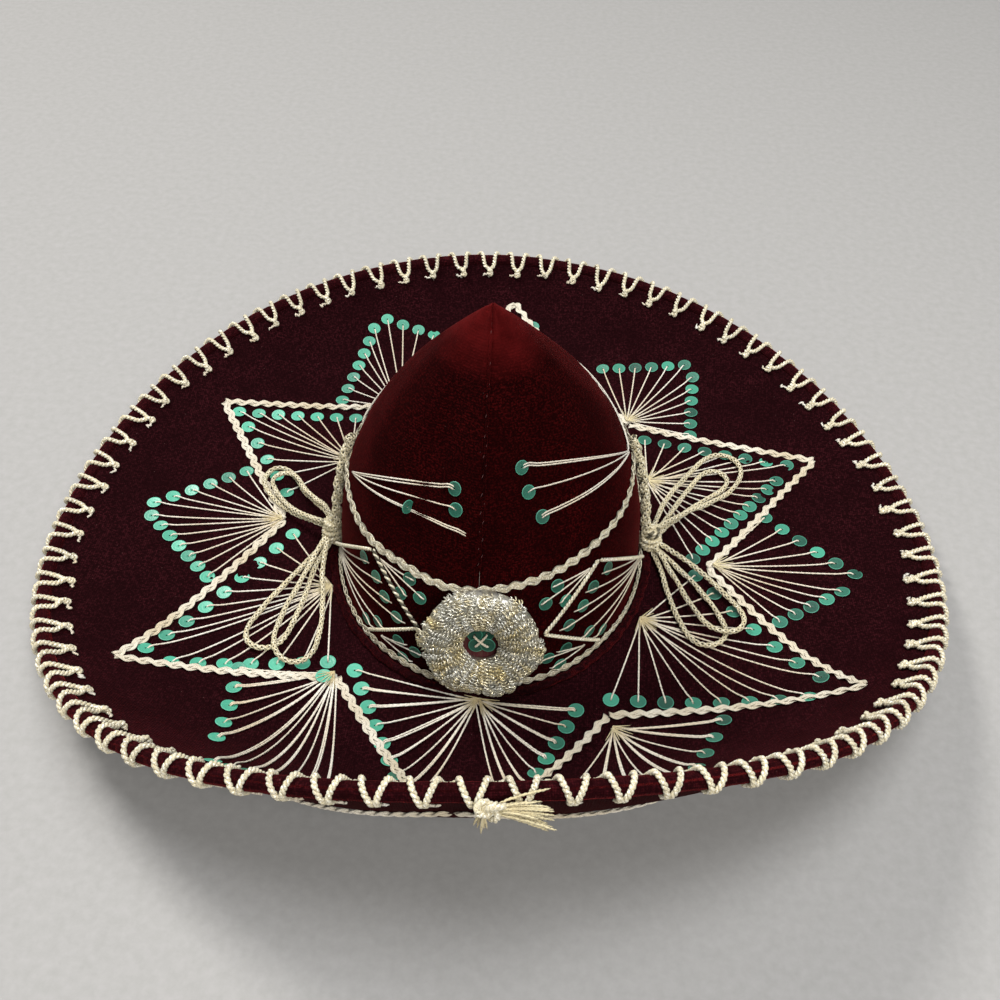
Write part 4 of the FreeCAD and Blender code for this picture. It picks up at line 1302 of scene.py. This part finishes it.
# %% Bundles and knots
bow_bundles = {
    "left": [(-93, 0.087), (-91, 0.075), (-89, 0.062), (-87, 0.050), (-86, 0.039),
             (-85, 0.029), (-85, 0.017)],
    "right": [(99, 0.089), (98, 0.076), (96, 0.063), (94, 0.051), (92, 0.039),
              (91, 0.029), (91, 0.017)],
}
for name, places in bow_bundles.items():
    places = spaced(np.array([(a, z, 0.0) for a, z in places]) * (0.001, 1, 1), 0.002)
    path, up = on_crown(places[:, 0] * 1000, places[:, 1], 0.0034)
    side, run = beside(path, up), lengths(path)
    f = run / run[-1]
    bundle = Skein()
    for k in range(3):
        a = 2 * math.pi * (run / 0.034 + k / 3)
        spread = 0.0030 * (0.55 + 0.6 * np.sin(math.pi * np.clip(f + 0.12, 0, 1)))
        centre = path + side * (np.sin(a) * spread)[:, None] + (
            up * (np.sin(2 * a) * 0.0014)[:, None])
        round_braid(bundle, centre, 0.0019, step=0.0006)
    bundle.piece("bow_bundle_cords_" + name, bow_lame, "rope", "bow_bundle_" + name)

    knot = Skein()
    x, y = bow_knots[name]
    for k in range(5):
        turn = np.linspace(0, 2 * math.pi, 40, endpoint=False)
        high = 0.0125 + 0.0031 * k
        swell = 0.0044 + 0.0009 * math.sin(k * 1.3)
        loop = np.stack([x + swell * 1.05 * np.cos(turn), y + swell * np.sin(turn),
                         high + 0.0007 * np.sin(turn + k)], -1)
        two_ply(knot, loop, np.tile([0.0, 0.0, 1.0], (40, 1)), 0.00095, 0.0042, closed=True)
    for k in range(7):
        a = 2 * math.pi * k / 7
        z = np.linspace(0.0095, 0.0285, 12)
        bulge = 0.0026 * np.sin(math.pi * (z - 0.008) / 0.022)
        core = np.stack([x + bulge * np.cos(a + 30 * z), y + bulge * np.sin(a + 30 * z), z], -1)
        two_ply(knot, core, np.tile([0.6, 0.8, 0.0], (12, 1)), 0.0008, 0.004)
    knot.piece("bow_knot_turns_" + name, bow_lame, "rope", "bow_knot_" + name)

# %% [markdown]
# ## The rim's lacing
# One long two-ply cord holds the roll to the brim.  It comes up through a hole in the brim,
# runs outwards beside its own returning leg, parts from it before the roll, goes over and
# under the roll, and meets the next leg in the same way below.  From above each stitch is a
# Y, and from outside the legs are arches.  The whole lacing is one line: each stitch's
# places are given in metres along the rim, metres in from the roll's middle, and lift, and
# those on the roll by an angle round it.

# %% Places for the lacing
def face_place(theta, along, inward, lift):
    """A place on the top of the brim near the rim; lift below zero is on the underside."""
    theta = theta + along / rim_radius(theta)
    s = 1 - inward / rim_speed(theta)
    normal = brim_normal(theta, s)
    shift = lift if lift > 0 else lift - brim_stack
    return brim_face(theta, s) + normal * shift, normal * (1 if lift > 0 else -1)


def roll_over(theta, along, degrees, lift):
    theta = np.array(theta + along / rim_radius(theta))
    return roll_place(theta, np.array(math.radians(degrees)), roll_radius + lift)


pitch = 2 * math.pi / lacing_count
ply = 0.00086
on_cloth = 0.0015            # from the velvet to the middle of the cord
print("one stitch covers", round(pitch * float(rim_radius(0.0)) * 1000, 1), "mm of the rim")

# %% [markdown]
# ## One stitch after another
# The hand that laced it was steady but not exact, so each stitch's fork, depth and skew are
# drawn a little differently.  A loose strand of cotton lies by each stitch as a short tail,
# one at its inner end and one under the roll.

# %% Lacing stitches
lacing_line, lacing_tails = [], Skein()
for k in range(lacing_count):
    theta = pitch * k
    half = pitch * rim_radius(theta) / 2
    fork = 0.0086 + 0.0006 * dice.normal()
    deep = lacing_inset + 0.0009 * dice.normal()
    spread = half * 0.56
    skew = 0.0010 * dice.normal()
    stitch = []
    for way in (-1, 1):
        leg = [face_place(theta, way * half * 0.97, 0.0085, -0.0012),
               face_place(theta, way * half * 0.93, 0.0055, -0.0016),
               roll_over(theta, way * half * 0.88, -75, on_cloth),
               roll_over(theta, way * (spread + half * 0.9) / 2, -30, on_cloth),
               roll_over(theta, way * spread, 12, on_cloth),
               roll_over(theta, way * spread * 0.78, 55, on_cloth),
               face_place(theta, way * spread * 0.55 + skew * 0.3, 0.0052, 0.0018),
               face_place(theta, way * 0.0010 + skew * 0.6, fork, 0.0021),
               face_place(theta, -way * 0.0009 + skew, (fork + deep) / 2, 0.0026 - 0.0007 * way),
               face_place(theta, way * 0.0013 + skew, deep - 0.001, 0.0019)]
        if way > 0:
            leg = [face_place(theta, skew, deep + 0.0006, 0.0016)] + leg[::-1]
        stitch += leg
    lacing_line += stitch
    for end, inward, lift in ((0, deep, 0.0011), (half, 0.0105, -0.0011)):
        f = np.linspace(0, 1, 9)
        long = 0.0042 + 0.003 * dice.random()
        tail = [face_place(theta, end + skew + long * g,
                           inward + 0.0012 * g * dice.normal(), lift) for g in f]
        path, up = np.array([t[0] for t in tail]), np.array([t[1] for t in tail])
        lacing_tails.tube(spaced(path, 0.0006), up[0], 0.00075, sides=6, lobes=2, twist=0.002,
                          taper=0.0015)

line = np.array([np.concatenate(pair) for pair in lacing_line])
lacing = Skein()
two_ply(lacing, line[:, :3], line[:, 3:], ply, 0.0046, 0.0006, closed=True)
lacing.piece("rim_lacing", lacing_lame, "lacing", "rim_lacing_cord")
lacing_tails.piece("rim_lacing_tails", fan_thread, "lacing")

# %% [markdown]
# ## The knot in the lacing
# The two ends of the lacing meet at the front, under the roll, in an overhand knot, and
# their cut ends have frayed into a tuft of soft yarns that points to one side.

# %% Front knot
knot_theta, knot_around, knot_lift = math.radians(-86), math.radians(-60), 0.0056
middle, outward = roll_place(np.array(knot_theta), np.array(knot_around),
                             roll_radius + knot_lift)
along = unit(brim_face(knot_theta + 0.01, 1.0) - brim_face(knot_theta - 0.01, 1.0))
upward = np.cross(outward, along)
knot = Skein()
t = np.linspace(0, 2 * math.pi, 90)
for size, phase, thick in ((1.0, 0.0, 0.0014), (0.72, 1.9, 0.0013)):
    wind = np.stack([np.sin(t) + 2 * np.sin(2 * t + phase), np.cos(t) - 2 * np.cos(2 * t + phase),
                     -np.sin(3 * t + phase)], -1) * 0.0016 * size
    path = middle + wind[:, :1] * along * 1.25 + wind[:, 1:2] * upward + wind[:, 2:] * outward
    two_ply(knot, path, np.broadcast_to(outward, path.shape), thick * 0.62, 0.0045)
knot.piece("lacing_knot_turns", lacing_lame, "lacing", "rim_lacing_knot")

# %% [markdown]
# ## The frayed tuft
# Forty-four yarns fan out from the knot to one side and droop a little under their own
# weight, and nine short ones hang on the other side.

# %% Tuft
tuft_yarns, short_yarns, tuft_radius = 44, 9, 0.0007
frayed = Skein()
for k in range(tuft_yarns):
    f = np.linspace(0, 1, 14)[:, None]
    fan_out = dice.normal(size=2) * (0.0021, 0.0015)
    long = 0.014 + 0.009 * dice.random()
    path = (middle + along * (0.003 + long * f) + upward * (fan_out[0] * (0.4 + 1.5 * f))
            + outward * (fan_out[1] * (0.6 + 1.2 * f)) - upward * 0.003 * f ** 2)
    path = path + along * 0.0004 * np.sin(f * 25 + k)
    frayed.tube(spaced(path, 0.0008), outward, tuft_radius, sides=6, lobes=3, twist=0.006,
                taper=0.004)
for k in range(short_yarns):
    f = np.linspace(0, 1, 10)[:, None]
    path = (middle - along * 0.003 + along * 0.0012 * dice.normal() * (0.4 + f)
            - upward * (0.002 + (0.007 + 0.003 * dice.random()) * f)
            + outward * 0.0008 * dice.normal())
    frayed.tube(spaced(path, 0.0008), outward, tuft_radius, sides=6, lobes=3, twist=0.006,
                taper=0.003)
frayed.piece("lacing_tuft", tuft_cotton, "lacing")

# %% [markdown]
# ## The hidden layers, the lining and the sweatband
# Below the velvet there is brown-grey pasteboard, inside the crown a satin lining, and round the
# head opening a leather sweatband.  Their solids already have the right shape, so they stay
# as they are and get finishes of their own: fibres and specks for board, a fine sheen and
# creases with painted shade in their hollows for satin, pores and creases for leather.

# %% Finishes for the plain pieces
def board_finish(name):
    f = Finish(name, Roughness=0.9)
    fibres = f.noise(f.where(), 700, 5, 0.7)
    f.wire("Base Color", f.mix(f.ramp(fibres, 0.35, 0.7), (0.20, 0.18, 0.15), (0.34, 0.30, 0.25)))
    f.bump(fibres, 0.0003)
    return f.material


def satin_finish(name):
    f = Finish(name, Roughness=0.42, Sheen_Weight=0.4, Sheen_Tint=(0.9, 0.3, 0.3, 1))
    threads = f.add("TexWave", {"Vector": f.where(), "Scale": 900.0, "Distortion": 0.5},
                    bands_direction="Z").outputs["Fac"]
    crease_and_crease_shade = f.noise(f.where(), 22, 4, 0.6)
    # painted shade: the satin is darker in the hollows of the creases and lighter on their crests
    f.wire("Base Color", f.mix(crease_and_crease_shade, (0.055, 0.010, 0.014), (0.13, 0.024, 0.030)))
    height = f.math("ADD", f.math("MULTIPLY", threads, 0.15), f.math("MULTIPLY", crease_and_crease_shade, 6.0))
    f.bump(height, 0.0005)
    return f.material


def leather_finish(name):
    f = Finish(name, Roughness=0.5, Specular_IOR_Level=0.4)
    pores = f.add("TexVoronoi", {"Vector": f.where(), "Scale": 1100.0}).outputs["Distance"]
    wear = f.noise(f.where(), 60, 4, 0.6)
    f.wire("Base Color", f.mix(f.ramp(wear, 0.3, 0.75), (0.045, 0.020, 0.012),
                               (0.13, 0.062, 0.034)))
    f.wire("Roughness", f.ramp(wear, -1.0, 1.7))
    f.bump(f.math("ADD", pores, f.math("MULTIPLY", wear, 2.0)), 0.0003)
    return f.material


plain_finishes = {
    "brim_board": board_finish("paste board"),
    "crown_shell": board_finish("felt shell"),
    "rim_filler_cord": cotton_finish("filler cotton", (0.6, 0.56, 0.48), (0.5, 0.44, 0.34)),
    "crown_lining": satin_finish("satin lining"),
    "sweatband": leather_finish("brown leather"),
}
for node, finish in plain_finishes.items():
    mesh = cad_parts[node].data
    mesh.materials.clear()
    mesh.materials.append(finish)
print("plain pieces finished:", ", ".join(plain_finishes))

# %% [markdown]
# ## Table and light
# A plain pale table keeps attention on the hat.  Three soft area lights stand round it: a
# window on the left and a little behind, so that the curled front throws its shadow towards
# the viewer, a wide one overhead, and one high in front that fills the shadows.

# %% Table
def table_top():
    top = Skein()
    steps = np.linspace(-2.5, 2.5, 40)
    x, y = np.meshgrid(steps, steps)
    top.sheet(np.stack([x, y, 0 * x - 0.0002], -1))
    f = Finish("pale table", Roughness=0.7, Specular_IOR_Level=0.3)
    grain = f.noise(f.where(), 180, 4, 0.6)
    f.wire("Base Color", f.mix(f.ramp(grain, 0.3, 0.7), (0.34, 0.335, 0.32), (0.38, 0.37, 0.36)))
    f.bump(grain, 0.00005)
    mesh = bpy.data.meshes.new("table")
    mesh.from_pydata(top.points[0].tolist(), [], top.faces[0].tolist())
    mesh.materials.append(f.material)
    made = bpy.data.objects.new("table", mesh)
    bpy.context.scene.collection.objects.link(made)


def soft_light(name, place, aim, size, watts, colour=(1, 1, 1)):
    light = bpy.data.lights.new(name, "AREA")
    light.size = size
    light.energy = watts
    light.color = colour
    made = bpy.data.objects.new(name, light)
    made.location = place
    made.rotation_euler = (Vector(aim) - Vector(place)).to_track_quat("-Z", "Y").to_euler()
    bpy.context.scene.collection.objects.link(made)


table_top()
soft_light("window", (-1.6, 1.3, 2.4), (0, 0, 0.03), 0.8, 66, (1.0, 0.98, 0.95))
soft_light("ceiling", (0.4, -0.2, 2.6), (0, 0, 0), 1.2, 44, (0.97, 0.98, 1.0))
soft_light("high front", (0.7, -1.8, 2.0), (0, 0, 0.05), 1.0, 46, (1.0, 0.98, 0.96))

world = bpy.data.worlds.new("room")
world.use_nodes = True
world.node_tree.nodes["Background"].inputs[0].default_value = (0.80, 0.82, 0.86, 1)
world.node_tree.nodes["Background"].inputs[1].default_value = 0.18
bpy.context.scene.world = world
bpy.context.scene.view_settings.view_transform = "Standard"
print("table and lights ready")
